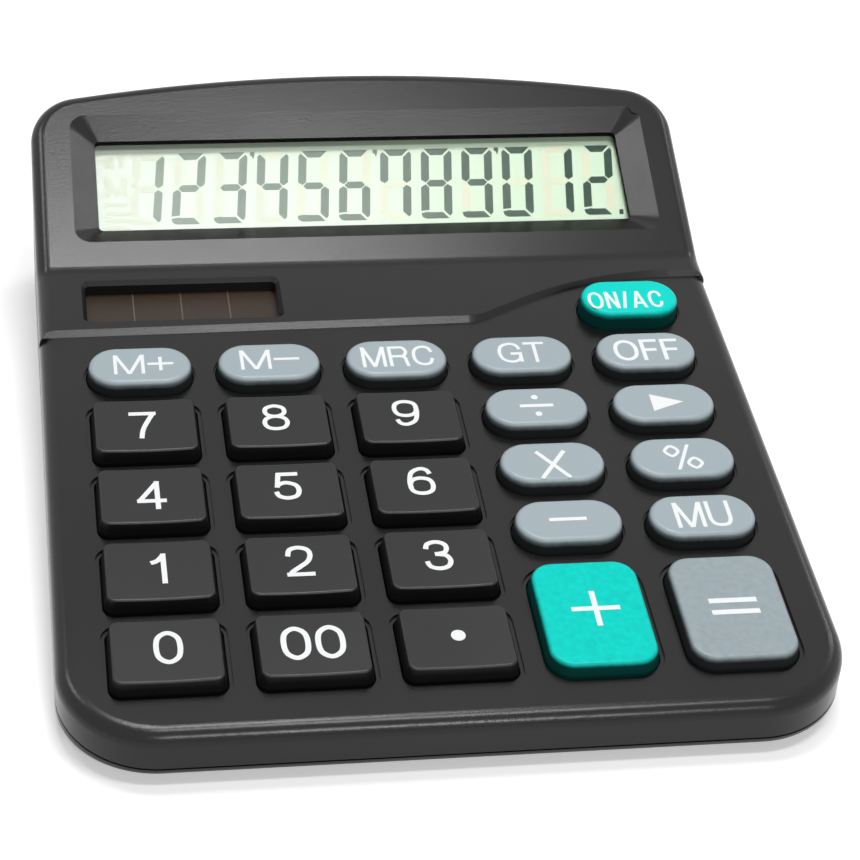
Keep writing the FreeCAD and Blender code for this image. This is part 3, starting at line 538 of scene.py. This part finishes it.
def outline(shape, points, x, y):
    """A flat face of an outline that leans as the figures do."""
    lean = math.tan(figure_lean)
    corners = [shape.verts.new((x + px + (py - figure_height / 2) * lean, y + py, 0)) for px, py in points]
    shape.faces.new(corners)


def figure_shapes():
    """Two bmeshes: the segments that are on, and those that are off."""
    shown, hidden = bmesh.new(), bmesh.new()
    outlines = segment_outlines()
    for place, figure in enumerate(figures):
        x = first_figure + place * figure_pitch - figure_width / 2
        for segment, points in outlines.items():
            outline(shown if segment in lit[figure] else hidden, points, x, figure_low)
    marks = [(place, comma_mark, figure_height) for place in comma_after]
    marks.append((len(figures) - 1, point_mark, 0))
    for place, points, rise in marks:
        x = first_figure + (place + 0.5) * figure_pitch + mark_shift
        outline(shown, [(px * mm, rise + py * mm) for px, py in points], x, figure_low)
    for made in (shown, hidden):
        thicken(made, segment_thick)
    return shown, hidden


def mode_shape():
    """A bmesh of the faint signs at the left end of the display."""
    faces = []
    for words, rise, height in mode_signs:
        place = Vector((mode_signs_x * mm, rise * mm))
        made = word_faces(words, mode_signs_width * mm, height * mm, mode_stroke * mm)
        faces += [[point + place for point in face] for face in made]
    return joined(faces, segment_thick)


# Node groups that the finishes share
def new_group(name, inputs, outputs):
    """An empty shader node group, its input node and its output node.

    The inputs have a number or a vector as their default, and the outputs are numbers.
    """
    group = bpy.data.node_groups.new(name, "ShaderNodeTree")
    for label, value in inputs.items():
        kind = "NodeSocketFloat" if isinstance(value, float) else "NodeSocketVector"
        socket = group.interface.new_socket(label, in_out="INPUT", socket_type=kind)
        socket.default_value = value
    for label in outputs:
        group.interface.new_socket(label, in_out="OUTPUT", socket_type="NodeSocketFloat")
    return group, group.nodes.new("NodeGroupInput"), group.nodes.new("NodeGroupOutput")


def math_node(tree, operation, *values):
    """A Math node whose inputs are sockets or numbers."""
    node = tree.nodes.new("ShaderNodeMath")
    node.operation = operation
    for socket, value in zip(node.inputs, values):
        if isinstance(value, bpy.types.NodeSocket):
            tree.links.new(value, socket)
        else:
            socket.default_value = value
    return node.outputs[0]


def noise_node(tree, vector, scale, detail=2.0, roughness=0.5):
    """A Noise texture on a vector, at a scale that is a socket or a number."""
    node = tree.nodes.new("ShaderNodeTexNoise")
    node.inputs["Detail"].default_value = detail
    node.inputs["Roughness"].default_value = roughness
    tree.links.new(vector, node.inputs["Vector"])
    if isinstance(scale, bpy.types.NodeSocket):
        tree.links.new(scale, node.inputs["Scale"])
    else:
        node.inputs["Scale"].default_value = scale
    return node.outputs["Fac"]


def moulded_grain():
    """The fine grain of a textured mould: a height and a slow change of shade."""
    group, given, result = new_group(
        "moulded_grain", {"Vector": (0, 0, 0), "Grain size": 0.16 * mm}, ("Height", "Shade")
    )
    scale = math_node(group, "DIVIDE", 1.0, given.outputs["Grain size"])
    fine = noise_node(group, given.outputs["Vector"], scale, 3.0, 0.6)
    broad = noise_node(group, given.outputs["Vector"], shade_spots)
    half = math_node(group, "MULTIPLY", fine, 0.5)
    shade = math_node(group, "MULTIPLY_ADD", broad, 0.5, half)
    group.links.new(fine, result.inputs["Height"])
    group.links.new(shade, result.inputs["Shade"])
    return group


def worn_sheen():
    """A roughness that changes a little over a handled surface."""
    group, given, result = new_group(
        "worn_sheen", {"Vector": (0, 0, 0), "Polished": 0.35, "Dull": 0.5}, ("Roughness",)
    )
    patch = noise_node(group, given.outputs["Vector"], sheen_spots, 4.0, 0.55)
    span = math_node(group, "SUBTRACT", given.outputs["Dull"], given.outputs["Polished"])
    value = math_node(group, "MULTIPLY_ADD", patch, span, given.outputs["Polished"])
    group.links.new(value, result.inputs["Roughness"])
    return group


def ruled_lines():
    """Thin lines across one direction, at an even pitch."""
    group, given, result = new_group(
        "ruled_lines", {"Distance": 0.0, "Pitch": 1.0 * mm, "Line": 0.1 * mm}, ("Mask",)
    )
    half_pitch = math_node(group, "DIVIDE", given.outputs["Pitch"], 2.0)
    spot = math_node(group, "PINGPONG", given.outputs["Distance"], half_pitch)
    half_line = math_node(group, "DIVIDE", given.outputs["Line"], 2.0)
    mask = math_node(group, "LESS_THAN", spot, half_line)
    group.links.new(mask, result.inputs["Mask"])
    return group


def depth_below(group, given):
    """How far a point lies below the top, measured along the outward direction."""
    dot = group.nodes.new("ShaderNodeVectorMath")
    dot.operation = "DOT_PRODUCT"
    group.links.new(given.outputs["Vector"], dot.inputs[0])
    group.links.new(given.outputs["Outwards"], dot.inputs[1])
    return math_node(group, "SUBTRACT", given.outputs["Top"], dot.outputs["Value"])


def cap_side_shade():
    """A mask for painted shade down a cap's sides: one on the top, falling unevenly to zero further down.
    """
    inputs = {"Vector": (0, 0, 0), "Outwards": (0, 0, 1), "Top": 0.0, "Unshaded": 0.4 * mm, "Fade": 1.2 * mm}
    group, given, result = new_group("cap_side_shade", inputs, ("Mask",))
    drop = depth_below(group, given)
    below = math_node(group, "SUBTRACT", drop, given.outputs["Unshaded"])
    edge_noise = noise_node(group, given.outputs["Vector"], fine_spots)
    uneven = math_node(group, "MULTIPLY_ADD", edge_noise, edge_wobble, below)
    share = math_node(group, "DIVIDE", uneven, given.outputs["Fade"])
    share.node.use_clamp = True
    smoothed = math_node(group, "SMOOTH_MIN", share, 1.0, shade_edge_blend)
    mask = math_node(group, "SUBTRACT", 1.0, smoothed)
    group.links.new(mask, result.inputs["Mask"])
    return group


def window_rim():
    """One everywhere but on the inner walls of the window opening, where painted shade goes."""
    inputs = {
        "Vector": (0, 0, 0), "Outwards": (0, 0, 1), "Top": 0.0,
        "Depth": bezel_depth, "Half width": opening_half_width, "Rear": opening_rear,
    }
    group, given, result = new_group("window_rim", inputs, ("Mask",))
    drop = depth_below(group, given)
    spot = group.nodes.new("ShaderNodeSeparateXYZ")
    group.links.new(given.outputs["Vector"], spot.inputs[0])
    high = math_node(group, "LESS_THAN", drop, given.outputs["Depth"])
    aside = math_node(group, "ABSOLUTE", spot.outputs["X"])
    wide = math_node(group, "GREATER_THAN", aside, given.outputs["Half width"])
    behind = math_node(group, "GREATER_THAN", spot.outputs["Y"], given.outputs["Rear"])
    mask = math_node(group, "MAXIMUM", math_node(group, "MAXIMUM", high, wide), behind)
    group.links.new(mask, result.inputs["Mask"])
    return group


shared = {}


def use_group(tree, maker, **values):
    """A shared node group in a material, built the first time it is asked for."""
    name = maker.__name__
    if name not in shared:
        shared[name] = maker()
    node = tree.nodes.new("ShaderNodeGroup")
    node.node_tree = shared[name]
    for label, value in values.items():
        socket = node.inputs[label.replace("_", " ")]
        if isinstance(value, bpy.types.NodeSocket):
            tree.links.new(value, socket)
        else:
            socket.default_value = value
    return node


def new_finish(name, **values):
    """A material, its node tree and its shader, with the shader's own sockets set."""
    material = bpy.data.materials.new(name)
    material.use_nodes = True
    tree = material.node_tree
    shader = tree.nodes["Principled BSDF"]
    for label, value in values.items():
        shader.inputs[label.replace("_", " ")].default_value = value
    return material, tree, shader


def object_vector(tree):
    """The Object coordinates of a surface."""
    return tree.nodes.new("ShaderNodeTexCoord").outputs["Object"]


def shade_ramp(tree, value, stops):
    """A colour ramp fed by a value: a list of places and colours."""
    ramp = tree.nodes.new("ShaderNodeValToRGB")
    band = ramp.color_ramp
    for place, colour in stops[2:]:
        band.elements.new(place)
    for element, (place, colour) in zip(band.elements, sorted(stops, key=lambda s: s[0])):
        element.position = place
        element.color = (*colour[:3], 1)
    tree.links.new(value, ramp.inputs["Fac"])
    return ramp.outputs["Color"]


def colour_by(tree, shader, value, stops):
    """Colours a shader by a value, from a list of places and colours."""
    tree.links.new(shade_ramp(tree, value, stops), shader.inputs["Base Color"])


def wear(tree, shader, vector, polished, dull):
    """Gives a shader the sheen of a handled surface."""
    sheen = use_group(tree, worn_sheen, Vector=vector, Polished=polished, Dull=dull)
    tree.links.new(sheen.outputs["Roughness"], shader.inputs["Roughness"])


def tone(colour, factor):
    """A colour made darker or lighter."""
    return tuple(min(1.0, c * factor) for c in colour)


def bump(tree, shader, height, distance, strength):
    """Joins a height to a shader as a bump."""
    node = tree.nodes.new("ShaderNodeBump")
    node.inputs["Distance"].default_value = distance
    node.inputs["Strength"].default_value = strength
    tree.links.new(height, node.inputs["Height"])
    tree.links.new(node.outputs["Normal"], shader.inputs["Normal"])


def moulded(name, colour, grain, depth, polished, dull, specular=0.5, spread=0.08):
    """A moulded plastic: grained, a little uneven in shade and in sheen."""
    material, tree, shader = new_finish(name, Specular_IOR_Level=specular)
    vector = object_vector(tree)
    texture = use_group(tree, moulded_grain, Vector=vector, Grain_size=grain)
    stops = [(0.25, tone(colour, 1 - spread)), (0.75, tone(colour, 1 + spread))]
    colour_by(tree, shader, texture.outputs["Shade"], stops)
    wear(tree, shader, vector, polished, dull)
    bump(tree, shader, texture.outputs["Height"], depth, grain_strength)
    return material


def mix_into(tree, target, share, first, second):
    """Joins two shaders to a target: the first shows at a share of zero, the second at one."""
    blend = tree.nodes.new("ShaderNodeMixShader")
    for socket, source in zip(blend.inputs, (share, first, second)):
        tree.links.new(source, socket)
    tree.links.new(blend.outputs[0], target)


def surface(tree):
    """The socket that takes a material's shader."""
    return tree.nodes["Material Output"].inputs["Surface"]


def over_painted_shade(tree, mask, colour):
    """Keeps a material's own shader where a mask is one, with a dark one of little sheen elsewhere as
    painted shade.
    """
    own = tree.nodes["Principled BSDF"]
    matt = tree.nodes.new("ShaderNodeBsdfPrincipled")
    matt.inputs["Base Color"].default_value = (*colour, 1)
    matt.inputs["Roughness"].default_value = matt_roughness
    matt.inputs["Specular IOR Level"].default_value = matt_specular
    mix_into(tree, surface(tree), mask, matt.outputs[0], own.outputs[0])


def cap_finish(
    name, keys, colour, skirt,
    polished=0.3, dull=0.4, specular=0.15, spread=0.03, unshaded=0.4 * mm, fade=1.2 * mm,
):
    """The finish of key caps: a satin top, with painted shade that darkens their sides to a dark matt
    skirt.
    """
    material = moulded(name, colour, cap_grain, cap_grain_depth, polished, dull, specular, spread)
    tree = material.node_tree
    top = max(v.co.dot(out_of_deck) for key in keys for v in nodes[key].data.vertices)
    cap = {"Outwards": out_of_deck, "Top": top, "Unshaded": unshaded, "Fade": fade}
    side_shade = use_group(tree, cap_side_shade, Vector=object_vector(tree), **cap)
    over_painted_shade(tree, side_shade.outputs["Mask"], skirt)
    dress(keys, material)


def dress(names, material):
    """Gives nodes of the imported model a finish."""
    for name in names:
        mesh = nodes[name].data
        mesh.materials.clear()
        mesh.materials.append(material)


def along(tree, vector, axis):
    """One of the three numbers of a vector."""
    node = tree.nodes.new("ShaderNodeSeparateXYZ")
    tree.links.new(vector, node.inputs[0])
    return node.outputs[axis]


def line_mask(tree, distance, pitch, line):
    """One on lines across a direction, and zero between them."""
    return use_group(tree, ruled_lines, Distance=distance, Pitch=pitch, Line=line).outputs["Mask"]


def display_share(tree, vector):
    """How far a point lies along the display, from zero at its left end to one at its right."""
    low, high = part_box("lcd_panel")
    return math_node(tree, "MULTIPLY_ADD", along(tree, vector, "X"), 1 / (high.x - low.x), 0.5)


def display_finish():
    """The pale reflector behind the figures, with colour painted across it for the light that falls there:
    dimmer and whiter to the left, greener to the right.
    """
    colour = colours().display
    material, tree, shader = new_finish("display_reflector", Roughness=0.45)
    vector = object_vector(tree)
    grain = use_group(tree, moulded_grain, Vector=vector, Grain_size=0.6 * mm)
    mixed = math_node(tree, "MULTIPLY_ADD", grain.outputs["Shade"], 0.06, display_share(tree, vector))
    changes = ((0.0, (0.95, 0.9, 0.96)), (1.0, (1.05, 1.1, 1.03)))
    stops = [(place, [c * k for c, k in zip(colour, change)]) for place, change in changes]
    colour_by(tree, shader, mixed, stops)
    return material


def figure_finish(name, left, right):
    """A thin layer of the display whose colour changes from the left end to the right, as painted light and
    shade across the display.
    """
    material, tree, shader = new_finish(name, Roughness=0.45, Specular_IOR_Level=0.1)
    vector = object_vector(tree)
    grain = noise_node(tree, vector, fine_spots)
    mixed = math_node(tree, "MULTIPLY_ADD", grain, 0.08, display_share(tree, vector))
    stops = [(0.1, left), (0.95, right)]
    colour_by(tree, shader, mixed, stops)
    return material


def window_finish():
    """Clear plastic with a glare-free face that lets the lamps' light through."""
    material, tree, shader = new_finish(
        "clear_window", Base_Color=(1, 1, 1, 1), Roughness=0.2, IOR=1.18, Transmission_Weight=1.0
    )
    light = tree.nodes.new("ShaderNodeLightPath")
    clear = tree.nodes.new("ShaderNodeBsdfTransparent")
    through = math_node(tree, "MAXIMUM", light.outputs["Is Shadow Ray"], light.outputs["Is Diffuse Ray"])
    mix_into(tree, surface(tree), through, shader.outputs[0], clear.outputs[0])
    return material


def solar_finish():
    """Four dark cells side by side under clear film, with thin pale lines between them."""
    material, tree, shader = new_finish("solar_film", Roughness=0.4, Specular_IOR_Level=0.25)
    vector = object_vector(tree)
    low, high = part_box("solar_cell")
    middle = (low.x + high.x) / 2
    offset = math_node(tree, "SUBTRACT", along(tree, vector, "X"), middle)
    grain = use_group(tree, moulded_grain, Vector=vector, Grain_size=0.4 * mm)
    stops = [(0.2, (0.025, 0.016, 0.011)), (0.8, (0.048, 0.031, 0.021))]
    base = shade_ramp(tree, grain.outputs["Shade"], stops)
    mix = tree.nodes.new("ShaderNodeMix")
    mix.data_type = "RGBA"
    tree.links.new(line_mask(tree, offset, *solar_lines), mix.inputs[0])
    tree.links.new(base, mix.inputs[6])
    mix.inputs[7].default_value = (0.12, 0.1, 0.08, 1)
    tree.links.new(mix.outputs[2], shader.inputs["Base Color"])
    return material


def battery_finish():
    """A printed sleeve: a dark body, a copper band at the plus end and bare metal beyond it."""
    material, tree, shader = new_finish("battery_sleeve", Roughness=0.28, Metallic=0.6)
    vector = object_vector(tree)
    low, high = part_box("aa_battery")
    place = math_node(tree, "SUBTRACT", along(tree, vector, "X"), low.x)
    share = math_node(tree, "DIVIDE", place, high.x - low.x)
    steel, sleeve = (0.6, 0.6, 0.6), (0.02, 0.02, 0.025)
    stops = [
        (0.0, steel), (0.02, sleeve), (0.7, sleeve),
        (0.705, (0.45, 0.2, 0.09)), (0.96, (0.5, 0.23, 0.1)), (0.965, steel),
    ]
    colour_by(tree, shader, share, stops)
    return material


def board_finish():
    """A phenolic board with printed tracks under its lacquer."""
    material, tree, shader = new_finish("circuit_lacquer", Roughness=0.3, Coat_Weight=0.3)
    vector = object_vector(tree)
    tracks = line_mask(tree, along(tree, vector, "X"), *board_tracks)
    rows = line_mask(tree, along(tree, vector, "Y"), *board_rows)
    either = math_node(tree, "MAXIMUM", tracks, rows)
    patch = noise_node(tree, vector, track_spots, 1.0)
    kept = math_node(tree, "MULTIPLY", either, math_node(tree, "GREATER_THAN", patch, 0.5))
    stops = [(0.0, (0.2, 0.1, 0.03)), (1.0, (0.34, 0.19, 0.05))]
    colour_by(tree, shader, kept, stops)
    bump(tree, shader, kept, 0.03 * mm, 0.5)
    return material


def metal(name, colour, roughness, scratches):
    """A plated metal with a fine brushed look."""
    material, tree, shader = new_finish(name, Metallic=1.0)
    vector = object_vector(tree)
    grain = use_group(tree, moulded_grain, Vector=vector, Grain_size=0.3 * mm)
    stops = [(0.3, tone(colour, 0.92)), (0.7, tone(colour, 1.06))]
    colour_by(tree, shader, grain.outputs["Shade"], stops)
    wear(tree, shader, vector, roughness, roughness + scratches)
    return material


class CALCULATOR_OT_case(bpy.types.Operator):
    """Give the case, its base, its cover, feet and screws their finishes"""

    bl_idname = "calculator.case"
    bl_label = "Finish the case"

    def execute(self, context):
        colour = colours().case
        grain = sizes().grain_size
        plastic = moulded(
            "case_plastic", colour, grain, case_grain_depth,
            polished=0.19, dull=0.25, specular=0.32, spread=0.45,
        )
        tree = plastic.node_tree
        corners = [v.co for v in nodes["top_case"].data.vertices]
        top = max(corner.dot(out_of_head) for corner in corners if corner.y > head_behind)
        # Painted shade: the inner walls of the window opening get a darker, dull finish
        rim = use_group(tree, window_rim, Vector=object_vector(tree), Outwards=out_of_head, Top=top)
        over_painted_shade(tree, rim.outputs["Mask"], tone(colour, 0.3))
        dress(["top_case"], plastic)
        base = moulded(
            "base_plastic", tone(colour, 0.95), grain, case_grain_depth,
            polished=0.28, dull=0.36, specular=0.3, spread=0.45,
        )
        dress(["bottom_case", "battery_cover"], base)
        feet = [n for n in nodes if n.startswith("foot_")]
        rubber = moulded(
            "foot_rubber", (0.016, 0.016, 0.016), 0.3 * mm, 0.05 * mm, polished=0.7, dull=0.85, specular=0.3
        )
        dress(feet, rubber)
        screws = [n for n in nodes if n.endswith("_screws")]
        dress(screws, metal("zinc_plate", (0.6, 0.6, 0.62), roughness=0.25, scratches=0.15))
        return {"FINISHED"}


class CALCULATOR_OT_keys(bpy.types.Operator):
    """Give the key caps their three colours"""

    bl_idname = "calculator.keys"
    bl_label = "Finish the keys"

    def execute(self, context):
        shades = colours()
        black, grey, teal = shades.black_key, shades.grey_key, shades.teal_key
        # Painted shade: each cap's sides darken to a matt skirt of a far darker colour
        teal_shade = tone(teal, 0.03)
        cap_finish("black_caps", digit_keys, black, tone(black, 0.1), specular=0.36, spread=0.1)
        cap_finish("grey_caps", grey_keys, grey, (0.006, 0.005, 0.005), specular=0.4)
        cap_finish("teal_plus", ["key_plus"], teal, teal_shade, unshaded=0.0, fade=0.9 * mm)
        cap_finish("teal_switch", ["key_on_ac"], tone(teal, 0.9), teal_shade, polished=0.34, dull=0.44)
        return {"FINISHED"}


class CALCULATOR_OT_legends(bpy.types.Operator):
    """Print the legends on the keys"""

    bl_idname = "calculator.legends"
    bl_label = "Print the legends"

    def execute(self, context):
        ink = moulded(
            "legend_ink", colours().legend, 0.1 * mm, 0.003 * mm,
            polished=0.4, dull=0.5, specular=0.4, spread=0.02,
        )
        thick = sizes().print_thick
        for key in all_keys:
            words, width, height, stroke, right, up = legends[key]
            shape = joined(word_faces(words, width * mm, height * mm, stroke * mm), thick)
            bmesh.ops.translate(shape, verts=shape.verts, vec=(right * mm, up * mm, 0))
            mesh = mesh_of(shape)
            if key in digit_keys:
                for vertex in mesh.vertices:
                    vertex.co.z += vertex.co.x**2 / (2 * dish_radius) - digit_dish
            mesh.transform(seat(key, out_of_deck))
            piece("legend_" + key.removeprefix("key_"), mesh, key, ink)
        return {"FINISHED"}


class CALCULATOR_OT_display(bpy.types.Operator):
    """Make the display: reflector, window and figures"""

    bl_idname = "calculator.display"
    bl_label = "Make the display"

    def execute(self, context):
        dress(["lcd_panel"], display_finish())
        dress(["display_window"], window_finish())
        place = seat("display_window", out_of_head, "lcd_panel")
        lift = Matrix.Translation((0, 0, sizes().segment_lift))
        shown, hidden = figure_shapes()
        # Painted light and shade: the lit segments are much lighter to the left, and the unlit ones darker
        # there, like the reflector behind them
        dark = figure_finish("figure_on", (0.2, 0.27, 0.2), (0.02, 0.055, 0.035))
        faint = figure_finish("figure_off", (0.65, 0.71, 0.57), (0.8, 0.82, 0.61))
        layers = (
            ("figures_on", shown, dark),
            ("figures_off", hidden, faint),
            ("mode_signs", mode_shape(), faint),
        )
        for name, shape, ink in layers:
            mesh = mesh_of(shape)
            mesh.transform(place @ lift)
            piece(name, mesh, "case", ink)
        return {"FINISHED"}


class CALCULATOR_OT_solar(bpy.types.Operator):
    """Give the solar cell its dark film and its lines"""

    bl_idname = "calculator.solar"
    bl_label = "Finish the solar cell"

    def execute(self, context):
        dress(["solar_cell"], solar_finish())
        dress(["solar_wires"], metal("tinned_wire", (0.7, 0.68, 0.62), roughness=0.3, scratches=0.1))
        return {"FINISHED"}


class CALCULATOR_OT_inside(bpy.types.Operator):
    """Finish the board, the keypad, the battery and the other parts inside"""

    bl_idname = "calculator.inside"
    bl_label = "Finish the inside"

    def execute(self, context):
        dress(["circuit_board"], board_finish())
        for node, name, colour, grain, depth, polished, dull, spread in inner_parts:
            finish = moulded(name, colour, grain * mm, depth * mm, polished, dull, spread=spread)
            dress([node], finish)
        dress(["aa_battery"], battery_finish())
        nickel = metal("nickel_plate", (0.68, 0.67, 0.64), roughness=0.2, scratches=0.12)
        dress(["battery_spring", "battery_plate"], nickel)
        return {"FINISHED"}


def softbox(name, place, aim, width, length, power):
    """A soft area lamp that points at the object, with its width level."""
    light = bpy.data.lights.new(name, "AREA")
    light.shape = "RECTANGLE"
    light.size = width
    light.size_y = length
    light.energy = power
    lamp = bpy.data.objects.new(name, light)
    back = (Vector(place) - Vector(aim)).normalized()
    side = Vector((0, 1, 0)).cross(back).normalized()
    turn = Matrix((side, back.cross(side), back)).transposed().to_4x4()
    lamp.matrix_world = Matrix.Translation(place) @ turn
    bpy.context.scene.collection.objects.link(lamp)


def seen_rays(tree):
    """One for what the camera, a mirror or glass sees, and zero for all other light."""
    light = tree.nodes.new("ShaderNodeLightPath")
    seen = math_node(tree, "MAXIMUM", light.outputs["Is Camera Ray"], light.outputs["Is Glossy Ray"])
    return math_node(tree, "MAXIMUM", seen, light.outputs["Is Transmission Ray"])


def background(tree, strength):
    """A white background of a strength."""
    node = tree.nodes.new("ShaderNodeBackground")
    node.inputs["Color"].default_value = (1, 1, 1, 1)
    node.inputs["Strength"].default_value = strength
    return node.outputs[0]


def set_world(scene):
    """A soft white light all round, which looks plain white itself."""
    world = bpy.data.worlds.new("plain_white")
    scene.world = world
    world.use_nodes = True
    tree = world.node_tree
    tree.nodes.clear()
    out = tree.nodes.new("ShaderNodeOutputWorld")
    soft, white = background(tree, soft_light), background(tree, 1.0)
    mix_into(tree, out.inputs["Surface"], seen_rays(tree), soft, white)


def set_floor(scene):
    """A pale floor that looks white but for the object's shadow."""
    shape = bmesh.new()
    bmesh.ops.create_grid(shape, x_segments=1, y_segments=1, size=floor_reach)
    mesh = mesh_of(shape)
    floor = bpy.data.objects.new("floor", mesh)
    scene.collection.objects.link(floor)
    paper, tree, shader = new_finish("pale_paper", Base_Color=(0.93, 0.93, 0.93, 1), Roughness=0.9)
    grain = use_group(tree, moulded_grain, Vector=object_vector(tree), Grain_size=1.0 * mm)
    bump(tree, shader, grain.outputs["Height"], 0.02 * mm, 0.2)
    glow = tree.nodes.new("ShaderNodeEmission")
    tree.links.new(math_node(tree, "MULTIPLY", seen_rays(tree), floor_lift), glow.inputs["Strength"])
    both = tree.nodes.new("ShaderNodeAddShader")
    tree.links.new(shader.outputs[0], both.inputs[0])
    tree.links.new(glow.outputs[0], both.inputs[1])
    tree.links.new(both.outputs[0], surface(tree))
    mesh.materials.append(paper)


def set_camera(scene):
    """The camera that took the photograph, as near as it was found."""
    data = bpy.data.cameras.new("photo_camera")
    data.lens = camera_lens
    data.sensor_width = camera_sensor
    data.shift_x, data.shift_y = camera_shift
    data.clip_start, data.clip_end = camera_sight
    camera = bpy.data.objects.new("photo_camera", data)
    camera.location = camera_place
    camera.rotation_euler = [math.radians(turn) for turn in camera_turn]
    scene.collection.objects.link(camera)
    scene.camera = camera


class CALCULATOR_OT_stage(bpy.types.Operator):
    """Set the floor, the world, the lamps and the camera"""

    bl_idname = "calculator.stage"
    bl_label = "Set the stage"

    def execute(self, context):
        scene = context.scene
        scene.view_settings.view_transform = "Standard"
        set_world(scene)
        set_floor(scene)
        for name, settings in lamps.items():
            softbox(name, *settings)
        set_camera(scene)
        return {"FINISHED"}


class CALCULATOR_PT_panel(bpy.types.Panel):
    """The calculator's sizes, colours and operators"""

    bl_idname = "CALCULATOR_PT_panel"
    bl_label = "Calculator"
    bl_space_type = "VIEW_3D"
    bl_region_type = "UI"
    bl_category = "Calculator"

    def draw(self, context):
        layout = self.layout
        for group in (context.scene.calculator_sizes, context.scene.calculator_colours):
            box = layout.box()
            for name in group.__annotations__:
                box.prop(group, name)
        for maker in makers:
            layout.operator(maker.bl_idname)


makers = (
    CALCULATOR_OT_case,
    CALCULATOR_OT_keys,
    CALCULATOR_OT_legends,
    CALCULATOR_OT_display,
    CALCULATOR_OT_solar,
    CALCULATOR_OT_inside,
    CALCULATOR_OT_stage,
)
classes = (CalculatorSizes, CalculatorColours, *makers, CALCULATOR_PT_panel)


def register():
    """Registers the classes and adds the settings to the scene."""
    for each in classes:
        bpy.utils.register_class(each)
    bpy.types.Scene.calculator_sizes = PointerProperty(type=CalculatorSizes)
    bpy.types.Scene.calculator_colours = PointerProperty(type=CalculatorColours)


def unregister():
    """Takes the settings off the scene and unregisters the classes."""
    del bpy.types.Scene.calculator_colours
    del bpy.types.Scene.calculator_sizes
    for each in reversed(classes):
        bpy.utils.unregister_class(each)


def main():
    """Dresses the model."""
    register()
    for maker in makers:
        group, name = maker.bl_idname.split(".")
        getattr(getattr(bpy.ops, group), name)()


if __name__ == "__main__":
    main()
